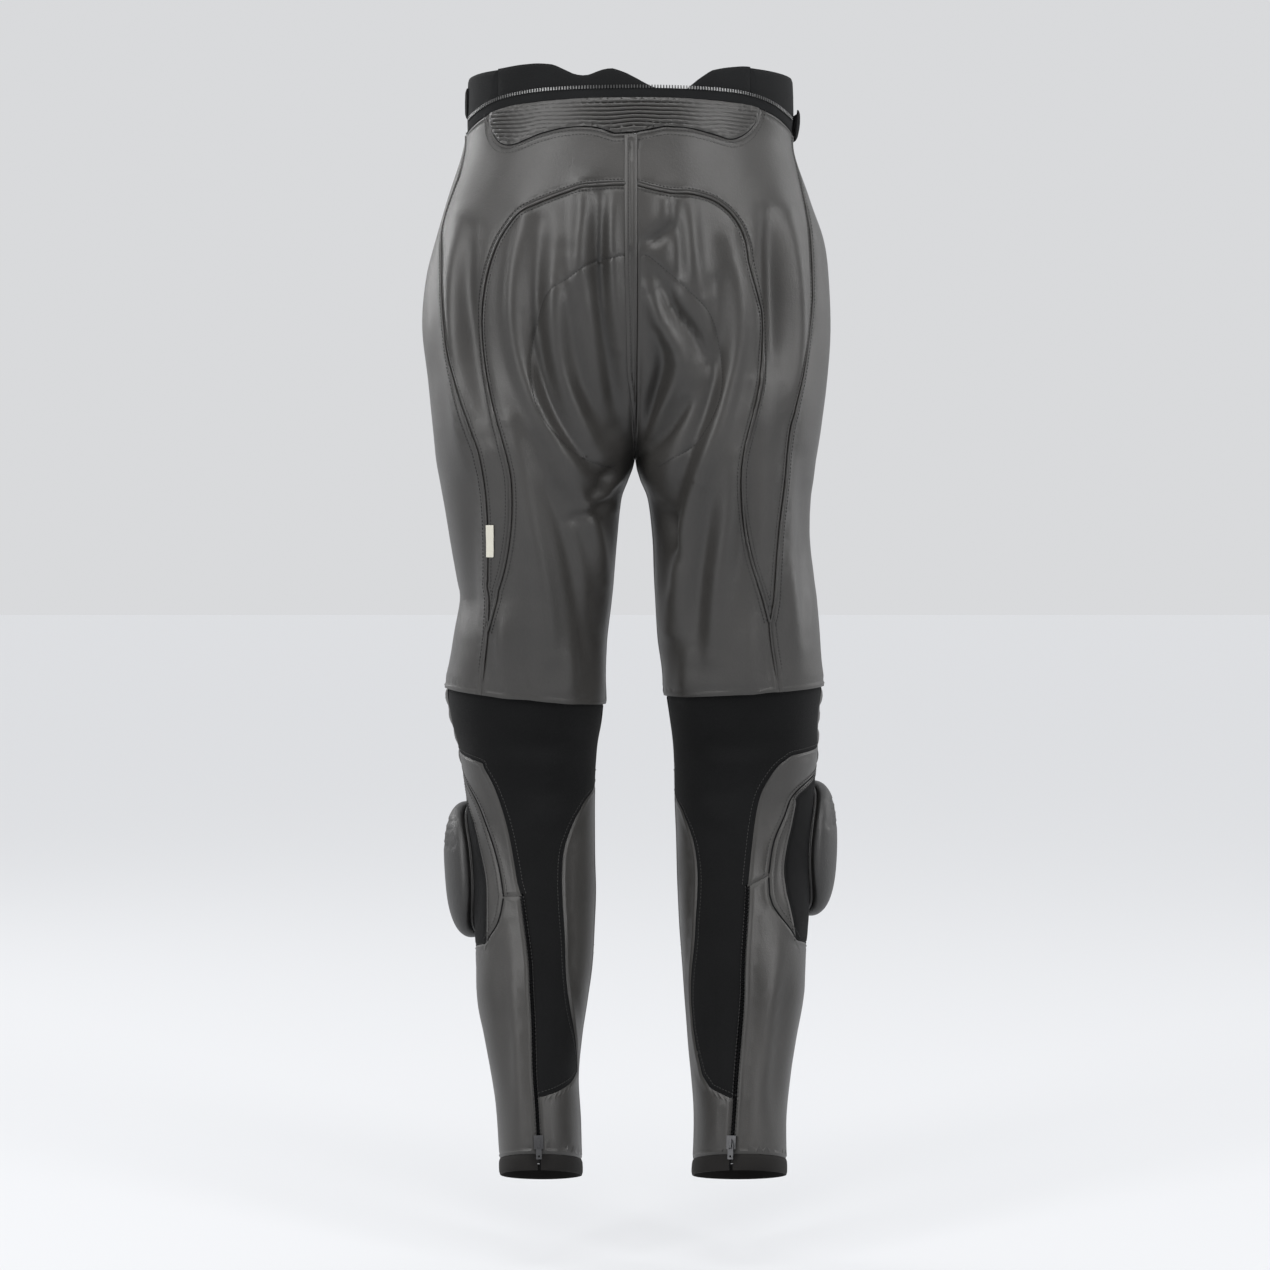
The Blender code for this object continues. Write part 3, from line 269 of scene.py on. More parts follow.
# Folds: side, face, width, how far it stands out or sinks, and its course across and up
FOLD_COLUMNS = ("side", "face", "width", "height", "course")
FOLDS = (
    ("left", "back", 9, 6.8, ((46, -88), (45, -117), (49, -148), (55, -189))),
    ("left", "back", 9, -11.1, ((31, -102), (32, -139), (29, -189), (22, -245), (13, -300))),
    ("left", "back", 6, 5.5, ((20, -98), (21, -139), (19, -189), (14, -234))),
    ("left", "back", 9, 9.0, ((98, -117), (107, -167), (106, -222), (94, -272), (68, -322),
                              (37, -356), (22, -372))),
    ("left", "back", 9, -7.6, ((84, -123), (90, -178), (87, -228), (75, -278), (52, -322),
                               (27, -351))),
    ("left", "back", 9, 6.2, ((68, -139), (71, -189), (68, -245), (52, -294), (30, -328))),
    ("left", "back", 9, -5.5, ((58, -150), (56, -205), (46, -262), (26, -306))),
    ("left", "back", 9, 6.8, ((112, -300), (101, -345), (91, -400), (82, -455), (77, -510))),
    ("left", "back", 9, -6.2, ((88, -318), (73, -366), (56, -427), (47, -483), (44, -530))),
    ("left", "back", 8, 6.8, ((71, -335), (52, -362), (38, -400), (31, -444))),
    ("left", "back", 7, -4.8, ((58, -372), (46, -398), (36, -440), (33, -490))),
    ("left", "back", 5, -5.5, ((9, -333), (22, -345), (41, -363))),
    ("left", "back", 4, 3.9, ((10, -343), (24, -356), (44, -372))),
    ("left", "back", 5, -3.9, ((20, -366), (38, -378), (60, -388))),
    ("left", "back", 9, -6.8, ((147, -125), (151, -178), (144, -245), (130, -311))),
    ("left", "back", 9, 4.8, ((160, -110), (166, -190), (160, -270), (152, -340))),
    ("left", "back", 9, -4.8, ((148, -350), (150, -420), (150, -500))),
    ("left", "back", 8, 3.9, ((122, -470), (118, -545))),
    ("left", "back", 8, -3.9, ((100, -480), (96, -548))),
    ("left", "back", 8, 3.8, ((60, -500), (62, -550))),
    ("right", "back", 6, -6.8, ((10, -142), (18, -139), (32, -129))),
    ("right", "back", 9, 4.8, ((25, -95), (27, -128))),
    ("right", "back", 9, 5.5, ((46, -100), (50, -150), (56, -190))),
    ("right", "back", 8, -4.8, ((34, -102), (38, -150), (36, -180))),
    ("right", "back", 7, -9.0, ((22, -172), (34, -200), (52, -223), (65, -248))),
    ("right", "back", 8, 6.8, ((14, -182), (24, -213), (41, -240), (47, -272))),
    ("right", "back", 7, -9.0, ((8, -311), (15, -281), (23, -250), (20, -222))),
    ("right", "back", 6, 6.8, ((10, -318), (23, -292), (35, -266), (38, -246))),
    ("right", "back", 6, -6.2, ((10, -325), (31, -303), (52, -272))),
    ("right", "back", 9, 9.0, ((84, -139), (91, -189), (89, -239), (77, -294), (56, -355),
                               (42, -422), (34, -488))),
    ("right", "back", 9, -7.6, ((73, -178), (75, -233), (63, -283), (43, -339), (31, -394),
                                (27, -444))),
    ("right", "back", 9, -9.0, ((119, -112), (123, -156), (124, -205), (122, -250))),
    ("right", "back", 8, 5.5, ((138, -110), (146, -165), (148, -230), (142, -290))),
    ("right", "back", 9, 4.8, ((100, -150), (105, -205), (104, -260))),
    ("right", "back", 9, 6.2, ((88, -330), (84, -385), (76, -445), (72, -510))),
    ("right", "back", 9, -6.2, ((66, -350), (60, -405), (55, -460), (54, -520))),
    ("right", "back", 7, -6.8, ((22, -372), (30, -392), (40, -420))),
    ("right", "back", 9, -4.8, ((104, -310), (100, -380), (94, -450))),
    ("right", "back", 8, 3.9, ((102, -480), (106, -545))),
    ("right", "back", 8, -3.8, ((122, -470), (124, -540))),
    ("right", "back", 8, 3.8, ((50, -500), (46, -548))),
    ("right", "back", 9, -4.8, ((152, -330), (156, -420), (152, -490))),
    ("right", "back", 8, 3.9, ((146, -430), (149, -520))),
    ("left", "back", 6, -2.5, ((134, -582), (95, -592), (52, -590))),
    ("left", "back", 6, 2.3, ((118, -603), (84, -610), (48, -604))),
    ("left", "back", 6, -2.3, ((104, -630), (78, -636), (52, -626))),
    ("left", "back", 6, 1.8, ((98, -655), (76, -660), (58, -652))),
    ("right", "back", 6, -2.5, ((140, -580), (104, -592), (60, -588))),
    ("right", "back", 6, 2.3, ((122, -602), (88, -608), (52, -603))),
    ("right", "back", 6, -2.3, ((104, -628), (80, -638), (56, -634))),
    ("right", "back", 6, 1.8, ((96, -656), (76, -661), (60, -652))),
    ("left", "back", 8, -3.3, ((126, -760), (120, -830), (112, -900))),
    ("left", "back", 7, 2.7, ((112, -800), (106, -860), (102, -930))),
    ("left", "back", 7, -2.3, ((58, -760), (62, -830), (68, -890))),
    ("right", "back", 8, 3.3, ((132, -770), (124, -820), (122, -880))),
    ("right", "back", 7, -2.7, ((140, -800), (130, -850), (126, -920))),
    ("right", "back", 7, -2.3, ((60, -770), (64, -840), (72, -900))),
    ("left", "front", 10, -9.1, ((20, -255), (52, -246), (94, -215))),
    ("left", "front", 11, 9.1, ((14, -285), (60, -284), (110, -262))),
    ("left", "front", 9, -8.3, ((22, -312), (60, -322), (100, -318))),
    ("left", "front", 12, -7.4, ((52, -366), (92, -358), (132, -330))),
    ("left", "front", 14, 8.3, ((128, -350), (120, -390), (114, -428))),
    ("left", "front", 11, -7.4, ((50, -372), (58, -400), (62, -430))),
    ("left", "front", 12, 6.1, ((88, -120), (104, -180), (128, -240))),
    ("left", "front", 12, -6.1, ((122, -110), (140, -180), (150, -260))),
    ("right", "front", 9, -9.1, ((18, -262), (48, -252), (88, -228))),
    ("right", "front", 12, 9.1, ((16, -292), (60, -298), (106, -280))),
    ("right", "front", 8, -7.4, ((24, -320), (56, -334), (92, -330))),
    ("right", "front", 11, -7.4, ((50, -358), (86, -346), (128, -320))),
    ("right", "front", 13, 8.3, ((122, -340), (114, -376), (110, -408))),
    ("right", "front", 12, -6.1, ((48, -366), (50, -392), (52, -420))),
    ("right", "front", 12, 6.1, ((80, -130), (100, -190), (118, -250))),
    ("right", "front", 12, -6.1, ((118, -120), (132, -190), (140, -270))),
    ("left", "front", 8, -3.9, ((66, -800), (90, -812), (114, -808))),
    ("right", "front", 8, -3.9, ((74, -806), (96, -810), (120, -796))),
    ("left", "front", 9, 3.5, ((80, -850), (84, -930))),
    ("right", "front", 9, 3.5, ((92, -850), (100, -930))),
    ("left", "front", 9, -6.4, ((24, -226), (60, -200), (104, -160))),
    ("left", "front", 11, 6.2, ((36, -436), (78, -446), (122, -424))),
    ("left", "front", 9, -6.0, ((40, -470), (84, -482), (126, -468))),
    ("left", "front", 8, 5.2, ((30, -508), (70, -520), (112, -512))),
    ("right", "front", 8, -6.0, ((20, -236), (58, -214), (92, -178))),
    ("right", "front", 12, 6.4, ((30, -424), (70, -432), (118, -402))),
    ("right", "front", 9, -6.4, ((34, -462), (80, -470), (118, -446))),
    ("right", "front", 8, 5.4, ((28, -500), (64, -514), (108, -504))),
)

# The stitched outline of the seat patch on each side
PATCHES = {
    "left": ((8, -153), (38, -160), (57, -172), (79, -189), (90, -220), (92.6, -255), (86.6, -290),
             (66.5, -316), (40, -334), (15, -341)),
    "right": ((8, -153), (16, -157), (48, -185), (68, -207), (76, -237.5), (77, -272.5),
              (68, -299), (49, -320.5), (22, -338)),
}

# Panels of each side: seams of the outline, look, thickness, spacing, padded or how it is held
PANEL_COLUMNS = ("name", "seams", "look", "thick", "pitch", "pitch_z", "relief", "held")
PANELS = (
    ("yoke", ("cb_mid", "arch", "-out_top", "-top_yoke", "-lumbar_low"), "leather", LEATHER,
     3.6, 3.6, None, "stretched"),
    ("seat", ("cb_low", "inseam_back", "hem_back", "-out_low", "-arch"), "leather", LEATHER,
     3.2, 3.2, None, "stretched"),
    ("front_thigh", ("top_front", "cf", "inseam_front", "-hem_front", "-hem_side", "-out_low",
                     "-out_top"), "leather", LEATHER, 5.0, 5.0, None, "stretched"),
    ("knee_stretch", ("hem_back", "hem_side", "stretch_side", "stretch_to_zip", "inner_zip",
                      "-stretch_low", "-stretch_inner", "-stretch_in_up"), "stretch", CLOTH,
     6.0, 6.0, None, "stretched"),
    ("knee_ribs", ("hem_front", "ribs_in", "-knee_line", "-grip_top", "-knee_tip",
                   "-knee_corner", "-stretch_side"), "leather", LEATHER, 6.0, 2.2, "ribs",
     "gathered"),
    ("knee_side", ("stretch_outer", "knot", "-arc", "-knee_corner"), "leather", LEATHER,
     6.0, 6.0, None, "stretched"),
    ("knee_arc", ("arc", "arc_low", "-grip_back", "-knee_tip"), "leather", LEATHER,
     6.0, 6.0, None, "stretched"),
    ("grip_panel", ("grip_back", "grip_low", "-grip_front", "-grip_top"), "pile", CLOTH,
     6.0, 6.0, None, "stretched"),
    ("knee_cup", ("knee_line", "cup_in", "-cup_low", "-grip_front"), "leather", LEATHER,
     6.0, 6.0, "cup", "padded"),
    ("shin", ("cup_low", "shin_in", "cuff_front", "-shin_out"), "leather", LEATHER,
     7.0, 7.0, None, "stretched"),
    ("calf_outer", ("outer_zip", "-cuff_side", "-shin_out", "-grip_low", "-arc_low",
                    "-knot_low"), "leather", LEATHER, 6.0, 6.0, None, "stretched"),
    ("calf_inner", ("stretch_inner", "stretch_low", "cuff_zip", "cuff_back", "-calf_in"),
     "leather", LEATHER, 6.0, 6.0, None, "stretched"),
)

# Rows of stitches beside a seam: the seam and how far to its left or right, in millimetres
STITCH_ROWS = (
    ("arch", 4.0), ("arch", -4.0), ("out_top", 4.2), ("out_top", -3.6), ("out_low", 4.2),
    ("lumbar_low", -3.4), ("lumbar_low", -7.6),
    ("hem_back", 5.6), ("hem_side", 5.6), ("hem_front", 5.6), ("stretch_outer", -3.4),
    ("arc", -3.6), ("arc", 3.6), ("arc_low", 3.6), ("grip_back", -3.4), ("stretch_inner", 3.4),
    ("stretch_low", 3.4), ("outer_zip", -3.0), ("cuff_zip", 3.0), ("inner_zip", 3.0),
    ("knee_line", -3.6), ("cup_low", 3.6), ("cup_low", -3.6), ("shin_out", 3.4),
    ("grip_front", -3.4), ("cf", -3.4), ("cf", -7.0),
)

# Seams whose allowance is built behind them, so that no light passes
BACKED_SEAMS = ("cb_mid", "cb_low", "cf", "arch", "out_top", "out_low", "hem_back", "hem_side",
                "hem_front", "stretch_outer", "stretch_inner", "stretch_side", "inseam_back",
                "arc", "arc_low", "grip_back", "knee_line", "cup_low", "shin_out", "calf_in",
                "stretch_in_up", "ribs_in", "cup_in", "shin_in", "knee_corner", "grip_front",
                "grip_low", "grip_top", "stretch_low", "lumbar_low", "top_lumbar", "top_yoke")

# Base colour, roughness, grain size per metre, grain depth, and colour variation
LOOKS = {
    "leather": ((0.034, 0.0322, 0.030), 0.44, 900, 0.24, 0.16),
    "stretch": ((0.0062, 0.0063, 0.0066), 0.95, 1500, 0.35, 0.25),
    "webbing": ((0.0085, 0.0088, 0.0092), 0.88, 1100, 0.35, 0.25),
    "pile": ((0.0055, 0.0056, 0.006), 0.98, 2200, 0.8, 0.45),
    "trim": ((0.014, 0.013, 0.0125), 0.85, 1300, 0.3, 0.25),
    "tag": ((0.60, 0.58, 0.50), 0.85, 1600, 0.3, 0.10),
    "puck": ((0.020, 0.0195, 0.019), 0.46, 420, 0.35, 0.35),
    "metal": ((0.16, 0.16, 0.165), 0.34, 1500, 0.08, 0.15),
    "teeth": ((0.020, 0.020, 0.021), 0.34, 1500, 0.05, 0.20),
    "nickel": ((0.15, 0.15, 0.15), 0.40, 1500, 0.05, 0.20),
    "thread": ((0.016, 0.0155, 0.015), 0.75, 2500, 0.2, 0.20),
}
SLOTS = {"pile": "webbing", "teeth": "metal", "nickel": "metal", "thread": "trim"}
SIDES = ("left", "right")
OTHER = {"left": "right", "right": "left"}


def smooth_through(points, count):
    """A smooth curve through the points, sampled evenly in its parameter."""
    points = np.array(points, dtype=float)
    if len(points) == 1:
        return points
    ends = np.vstack([2 * points[0] - points[1], points, 2 * points[-1] - points[-2]])
    curve = []
    for i in range(len(points) - 1):
        p0, p1, p2, p3 = ends[i:i + 4]
        for t in np.linspace(0, 1, count, endpoint=False):
            curve.append(0.5 * (2 * p1 + (p2 - p0) * t + (2 * p0 - 5 * p1 + 4 * p2 - p3) * t * t
                                + (3 * p1 - 3 * p2 + p3 - p0) * t ** 3))
    curve.append(points[-1])
    return np.array(curve)


def evenly(points, step):
    """Points at even spacing along a curve, with both of its ends."""
    points = np.array(points, dtype=float)
    scale = np.array([girth(points[:, 1].mean()), 1.0])
    lengths = np.linalg.norm(np.diff(points * scale, axis=0), axis=1)
    along = np.concatenate([[0], np.cumsum(lengths)])
    count = max(1, int(round(along[-1] / step)))
    stations = np.linspace(0, along[-1], count + 1)
    return np.column_stack([np.interp(stations, along, points[:, k]) for k in (0, 1)])


SECTION_CURVE = smooth_through(SECTIONS, 12)[::-1]


def section(column, z):
    """One column of the table of sections, at any height."""
    return np.interp(z, SECTION_CURVE[:, 0], SECTION_CURVE[:, SECTION_COLUMNS.index(column)])


def girth(z):
    """Half the girth of the body above the crotch, or the girth of a leg below it."""
    across = section("left_out", z) - section("left_in", z)
    return 2.6 * (across + 0.5 * section("back", z) + 0.5 * section("front", z)) * 0.6


def base_surface(side, u, z):
    """The smooth surface of one side, before its folds.

    Towards the crotch the half body turns into a leg: as an arch near the centre seams, and
    as an even slope over the seat and the side.
    """
    inner = section(side + "_in", z)
    outer = section(side + "_out", z)
    blend_top = np.where(u > 0.5, FRONT_BLEND_TOP_Z, BLEND_TOP_Z)
    part = np.clip((blend_top - z) / (blend_top - CROTCH_Z), 0, 1)
    arch = 1 - np.sqrt(1 - part ** 2)
    part = np.clip((SEAT_BLEND_TOP_Z - z) / (SEAT_BLEND_TOP_Z - CROTCH_Z), 0, 1)
    slope = part * part * (3 - 2 * part)
    near = np.exp(-(np.minimum(u, 1 - u) / ARCH_SPREAD_U) ** 2)
    legs = near * arch + (1 - near) * slope
    angle = np.pi * u
    across = (1 - legs) * np.sin(angle) + legs * np.sin(angle) ** 2
    swing = (1 - legs) * np.cos(angle) + legs * np.sin(2 * angle)
    depth = np.where(swing > 0, section("back", z), section("front", z))
    x = inner + (outer - inner) * across
    away = -depth * swing
    height = z - away * np.tan(np.radians(section("tilt", z)))
    sign = 1.0 if side == "right" else -1.0
    return np.stack([sign * x, section("centre_y", z) + away, height], axis=-1)


def wrapped(side, u, z):
    """The surface for any u: over the centre seams to the other side, or on round the leg."""
    above = z > CROTCH_Z
    own = base_surface(side, np.where(above, np.clip(u, 0, 1), u % 1.0), z)
    if np.all((u >= 0) & (u <= 1)):
        return own
    mirrored = np.where(u < 0, -u, 2 - u)
    over = base_surface(OTHER[side], np.clip(mirrored, 0, 1), z)
    crossed = (above & ((u < 0) | (u > 1)))[..., None]
    return np.where(crossed, over, own)


def normals_of(function, u, z, sign):
    """The outward normals of a surface, from small steps along u and z."""
    du, dz = 0.002, 0.4
    along = function(u + du, z) - function(u - du, z)
    up = function(u, z + dz) - function(u, z - dz)
    normal = np.cross(along, up) * sign
    return normal / np.maximum(np.linalg.norm(normal, axis=-1, keepdims=True), 1e-9)


def fold_courses():
    """Each fold's course as a smooth run of stretches, with its share of the way along."""
    courses = []
    for row in FOLDS:
        fold = dict(zip(FOLD_COLUMNS, row))
        line = smooth_through(fold["course"], 4)
        along = np.concatenate([[0], np.cumsum(np.linalg.norm(np.diff(line, axis=0), axis=1))])
        courses.append((fold, line, along / along[-1]))
    return courses


COURSES = fold_courses()


def fold_height(side, point):
    """How far the folds and the hide's own unevenness raise or sink each point."""
    seen = np.stack([np.abs(point[..., 0]), point[..., 2]], axis=-1)
    own = (point[..., 0] > 0) == (side == "right")
    ahead = (point[..., 1] - section("centre_y", point[..., 2])) / 30
    faces = {"back": np.clip(-ahead, 0, 1), "front": np.clip(ahead, 0, 1)}
    height = np.zeros(point.shape[:-1])
    for fold, line, share in COURSES:
        reach = 2.6 * fold["width"]
        low, high = line.min(axis=0) - reach, line.max(axis=0) + reach
        near = own & np.all((seen > low) & (seen < high), axis=-1)
        if fold["side"] != side or not near.any():
            continue
        place = seen[near]
        apart, part = np.full(len(place), 1e9), np.zeros(len(place))
        for k in range(len(line) - 1):
            step = line[k + 1] - line[k]
            along = np.clip((place - line[k]) @ step / (step @ step), 0, 1)
            away = np.linalg.norm(place - line[k] - along[:, None] * step, axis=1)
            part = np.where(away < apart, share[k] + along * (share[k + 1] - share[k]), part)
            apart = np.minimum(away, apart)
        taper = np.sin(np.pi * np.clip(part, 0.04, 0.96)) ** 0.5
        ridge = fold["height"] * taper * np.exp(-(apart / fold["width"]) ** 2)
        height[near] += ridge * faces[fold["face"]][near]
    x, y, z = (point[..., k] for k in range(3))
    uneven = np.sin(x / 17 + z / 41) * np.sin(y / 19 - z / 53 + 1.3) * 0.5
    uneven += np.sin(x / 9 - z / 23 + 0.7) * np.sin(y / 11 + z / 31) * 0.25
    return height * np.clip(seen[..., 0] / 9.0, 0, 1) + uneven


def surface(side, u, z):
    """Points and outward normals in millimetres."""
    sign = 1.0 if side == "right" else -1.0

    def folded(a, b):
        point = wrapped(side, a, b)
        normal = normals_of(lambda c, d: wrapped(side, c, d), a, b, sign)
        return point + normal * fold_height(side, point)[..., None]

    u = np.asarray(u, dtype=float)
    z = np.asarray(z, dtype=float)
    return folded(u, z), normals_of(folded, u, z, sign)


def on_back(side, x, z):
    """The surface's u and z for places seen across and up on the back."""
    x, z = np.asarray(x, dtype=float), np.asarray(z, dtype=float)
    level = z
    for _ in range(5):
        low, high = np.zeros(x.shape), np.full(x.shape, 0.5)
        for _ in range(30):
            middle = (low + high) / 2
            short = np.abs(base_surface(side, middle, level)[..., 0]) < x
            low, high = np.where(short, middle, low), np.where(short, high, middle)
        level = level + z - base_surface(side, low, level)[..., 2]
    return low, level


def top_edge(u):
    """The height of the leather's top edge, which dips at the sides."""
    return TOP_BACK_Z - TOP_SIDE_DROP * math.sin(math.pi * min(abs(u), 1)) ** 6


def seam(side, name, start, end):
    """A seam between two corners, smooth where it is seen from behind."""
    seen = smooth_through(BACK_SEAMS[name][side], 6)
    u, z = on_back(side, seen[:, 0], seen[:, 1])
    return evenly(smooth_through([start, *zip(u, z), end], 3), EDGE_STEP)


def level_run(u_start, u_end, z_of_u, step=EDGE_STEP):
    """A run round the body at a height that may change with u."""
    us = np.linspace(u_start, u_end, 40)
    return evenly([(u, z_of_u(u)) for u in us], step)


def side_runs(side):
    """Every seam of one side as a run of points, shared by the panels that meet there."""
    corner = {name: on_back(side, *places[side]) for name, places in CORNERS.items()}
    lumbar_u = corner["lumbar_end"][0]
    lumbar_end = (lumbar_u, top_edge(lumbar_u))
    side_top = (SIDE_TOP_U, top_edge(SIDE_TOP_U))
    hem_in, hem_side = HEM_IN_Z[side], HEM_SIDE_Z[side]
    hem_out = corner["hem_out"]
    stretch_in = (0.0, STRETCH_IN_Z[side])
    arc_start = (STRETCH_SIDE_U, ARC_START_Z[side])
    knee_side = (KNEE_SIDE_U, KNEE_LINE_Z)
    grip_top = (GRIP_TOP_U, KNEE_LINE_Z)
    grip_front = (GRIP_FRONT_U, KNEE_LINE_Z)
    cup_out = (GRIP_FRONT_U, CUP_LOW_Z)
    cuff_front = (CUFF_FRONT_U, CUFF_TOP_Z)

    def hem_height(u):
        return hem_side + (hem_in - hem_side) * math.cos(math.pi * u) ** 2

    zip_points = [corner["zip_top"]]
    zip_points += [on_back(side, x, z) for x, z in ZIP_LINE[side]]
    zip_points += [corner["zip_mid"], (corner["zip_low"][0], CUFF_TOP_Z)]
    zip_line = smooth_through(zip_points, 8)
    half = ZIP_GAP / 2 / girth(zip_line[:, 1].mean())
    split = np.argmin(np.abs(zip_line[:, 1] - corner["zip_mid"][1]))
    outer_zip = evenly(zip_line + [half, 0], EDGE_STEP)
    inner_zip = np.vstack([evenly(zip_line[:split + 1] - [half, 0], EDGE_STEP),
                           evenly(zip_line[split:] - [half, 0], EDGE_STEP)[1:]])
    inner_split = np.argmin(np.abs(inner_zip[:, 1] - zip_line[split, 1]))

    marks = [ARCH_Z, LUMBAR_Z, CROTCH_Z, hem_in, stretch_in[1], KNEE_LINE_Z, CUP_LOW_Z, CUFF_TOP_Z,
             *CROTCH_LEVELS, CUFF_LOW_Z]
    extra = [level for level in np.arange(-60, CUFF_TOP_Z, -5.0)
             if min(abs(level - mark) for mark in marks) > 2]
    levels = sorted(marks + extra, reverse=True)

    def upright(u, z_top, z_low):
        inside = [z for z in levels if z_low < z < z_top]
        return np.array([(u, z) for z in [z_top, *inside, z_low]])

    middle_arc = [on_back(side, x, z) for x, z in BACK_SEAMS["arc"][side]]
    runs = {
        "lumbar_low": seam(side, "lumbar_low", (0.0, LUMBAR_Z), lumbar_end),
        "top_yoke": level_run(lumbar_u, SIDE_TOP_U, top_edge),
        "top_front": level_run(SIDE_TOP_U, 1.0, top_edge),
        "top_lumbar": level_run(0.0, lumbar_u, top_edge),
        "arch": seam(side, "arch", (0.0, ARCH_Z), corner["merge"]),
        "out_top": seam(side, "out_top", side_top, corner["merge"]),
        "out_low": evenly([corner["merge"], hem_out], EDGE_STEP),
        "cb_mid": upright(0.0, LUMBAR_Z, ARCH_Z),
        "cb_low": upright(0.0, ARCH_Z, CROTCH_Z),
        "cf": upright(1.0, top_edge(1.0), CROTCH_Z),
        "inseam_back": upright(0.0, CROTCH_Z, hem_in),
        "inseam_front": upright(1.0, CROTCH_Z, hem_in),
        "hem_back": level_run(0.0, hem_out[0], hem_height),
        "hem_side": level_run(hem_out[0], STRETCH_SIDE_U, hem_height),
        "hem_front": level_run(STRETCH_SIDE_U, 1.0, hem_height),
        "stretch_side": evenly([(STRETCH_SIDE_U, hem_height(STRETCH_SIDE_U)), arc_start], EDGE_STEP),
        "stretch_outer": seam(side, "stretch_outer", arc_start, corner["zip_top"]),
        "knee_corner": np.array([arc_start, knee_side]),
        "knot": np.array([corner["zip_top"], corner["arc_knot"]]),
        "arc": evenly(smooth_through([knee_side, *middle_arc, corner["arc_knot"]], 8), EDGE_STEP),
        "arc_low": seam(side, "arc_low", corner["arc_knot"], corner["arc_end"]),
        "knee_tip": np.array([knee_side, grip_top]),
        "grip_back": seam(side, "grip_back", grip_top, corner["arc_end"]),
        "grip_top": evenly([grip_top, grip_front], EDGE_STEP),
        "grip_front": upright(GRIP_FRONT_U, KNEE_LINE_Z, CUP_LOW_Z),
        "grip_low": evenly([corner["arc_end"], cup_out], EDGE_STEP),
        "knee_line": evenly([grip_front, (1.0, KNEE_LINE_Z)], EDGE_STEP),
        "cup_low": evenly([cup_out, (1.0, CUP_LOW_Z)], EDGE_STEP),
        "shin_out": evenly([cup_out, cuff_front], EDGE_STEP),
        "stretch_in_up": upright(0.0, hem_in, stretch_in[1]),
        "ribs_in": upright(1.0, hem_in, KNEE_LINE_Z),
        "cup_in": upright(1.0, KNEE_LINE_Z, CUP_LOW_Z),
        "shin_in": upright(1.0, CUP_LOW_Z, CUFF_TOP_Z),
        "calf_in": upright(0.0, stretch_in[1], CUFF_TOP_Z),
        "stretch_inner": seam(side, "stretch_inner", stretch_in, corner["stretch_in_low"]),
        "inner_zip": inner_zip[:inner_split + 1],
        "cuff_zip": inner_zip[inner_split:],
        "stretch_low": seam(side, "stretch_low", corner["stretch_in_low"], inner_zip[inner_split]),
        "cuff_back": evenly([inner_zip[-1], (0.0, CUFF_TOP_Z)], EDGE_STEP),
        "cuff_front": evenly([(1.0, CUFF_TOP_Z), cuff_front], EDGE_STEP),
        "cuff_side": evenly([cuff_front, outer_zip[-1]], EDGE_STEP),
    }
    runs["zip_line"] = zip_line
    knot = corner["arc_knot"][0] - corner["zip_top"][0], corner["arc_knot"][1] - corner["zip_top"][1]
    outer_zip[0] = corner["zip_top"] + np.array(knot) * half / knot[0]
    runs["outer_zip"] = outer_zip
    runs["knot_low"] = np.array([outer_zip[0], corner["arc_knot"]])
    runs["stretch_to_zip"] = runs["stretch_outer"][:-1]
    return runs


def ring(runs, *names):
    """A closed outline from runs, each taken forwards, or backwards after a minus sign."""
    points = []
    for name in names:
        run = runs[name.lstrip("-")]
        if name.startswith("-"):
            run = run[::-1]
        for point in run:
            if not points or np.abs(np.array(points[-1]) - point).max() > 1e-6:
                points.append(tuple(point))
    if np.abs(np.array(points[0]) - points[-1]).max() < 1e-6:
        points.pop()
    return np.array(points)


def without_repeats(points):
    """The outline with each point that repeats the one before it left out."""
    apart = np.abs(points - np.roll(points, 1, axis=0)) * [FLAT_SCALE, 1.0]
    return points[apart.max(axis=1) > 0.05]


def shoelace(points):
    """The area of an outline, with a sign for the way it turns."""
    x, y = points[:, 0], points[:, 1]
    return 0.5 * np.sum(x * np.roll(y, -1) - np.roll(x, -1) * y)


def inset(side, outline, gap):
    """Draws an outline in by a real distance, measured on the surface."""
    turn = 1.0 if shoelace(outline) > 0 else -1.0
    du, dz = 0.002, 0.5
    u, z = outline[:, 0], outline[:, 1]
    u_in = np.clip(u, 0.004, 0.996)
    wide = np.linalg.norm(wrapped(side, u_in + du, z) - wrapped(side, u_in - du, z), axis=1) / (2 * du)
    tall = np.linalg.norm(wrapped(side, u_in, z + dz) - wrapped(side, u_in, z - dz), axis=1) / (2 * dz)
    result = []
    count = len(outline)
    for i in range(count):
        scale = np.array([wide[i], tall[i]])
        back = (outline[i] - outline[i - 1]) * scale
        ahead = (outline[(i + 1) % count] - outline[i]) * scale
        back /= np.linalg.norm(back)
        ahead /= np.linalg.norm(ahead)
        normal_back = turn * np.array([-back[1], back[0]])
        normal_ahead = turn * np.array([-ahead[1], ahead[0]])
        bisector = normal_back + normal_ahead
        size = bisector @ bisector
        shift = bisector * (2 / size) if size > 0.03 else normal_back
        shift *= min(1.0, 6.0 / np.linalg.norm(shift))
        result.append(outline[i] + shift * gap / scale)
    return np.array(result)


def elastic_top(side, u):
    """The slumped wavy top edge of the back elastic."""
    place = base_surface(side, np.array(abs(u)), np.array(0.0))
    across, height = zip(*ELASTIC_WAVES)
    return float(np.interp(place[0], across, height))


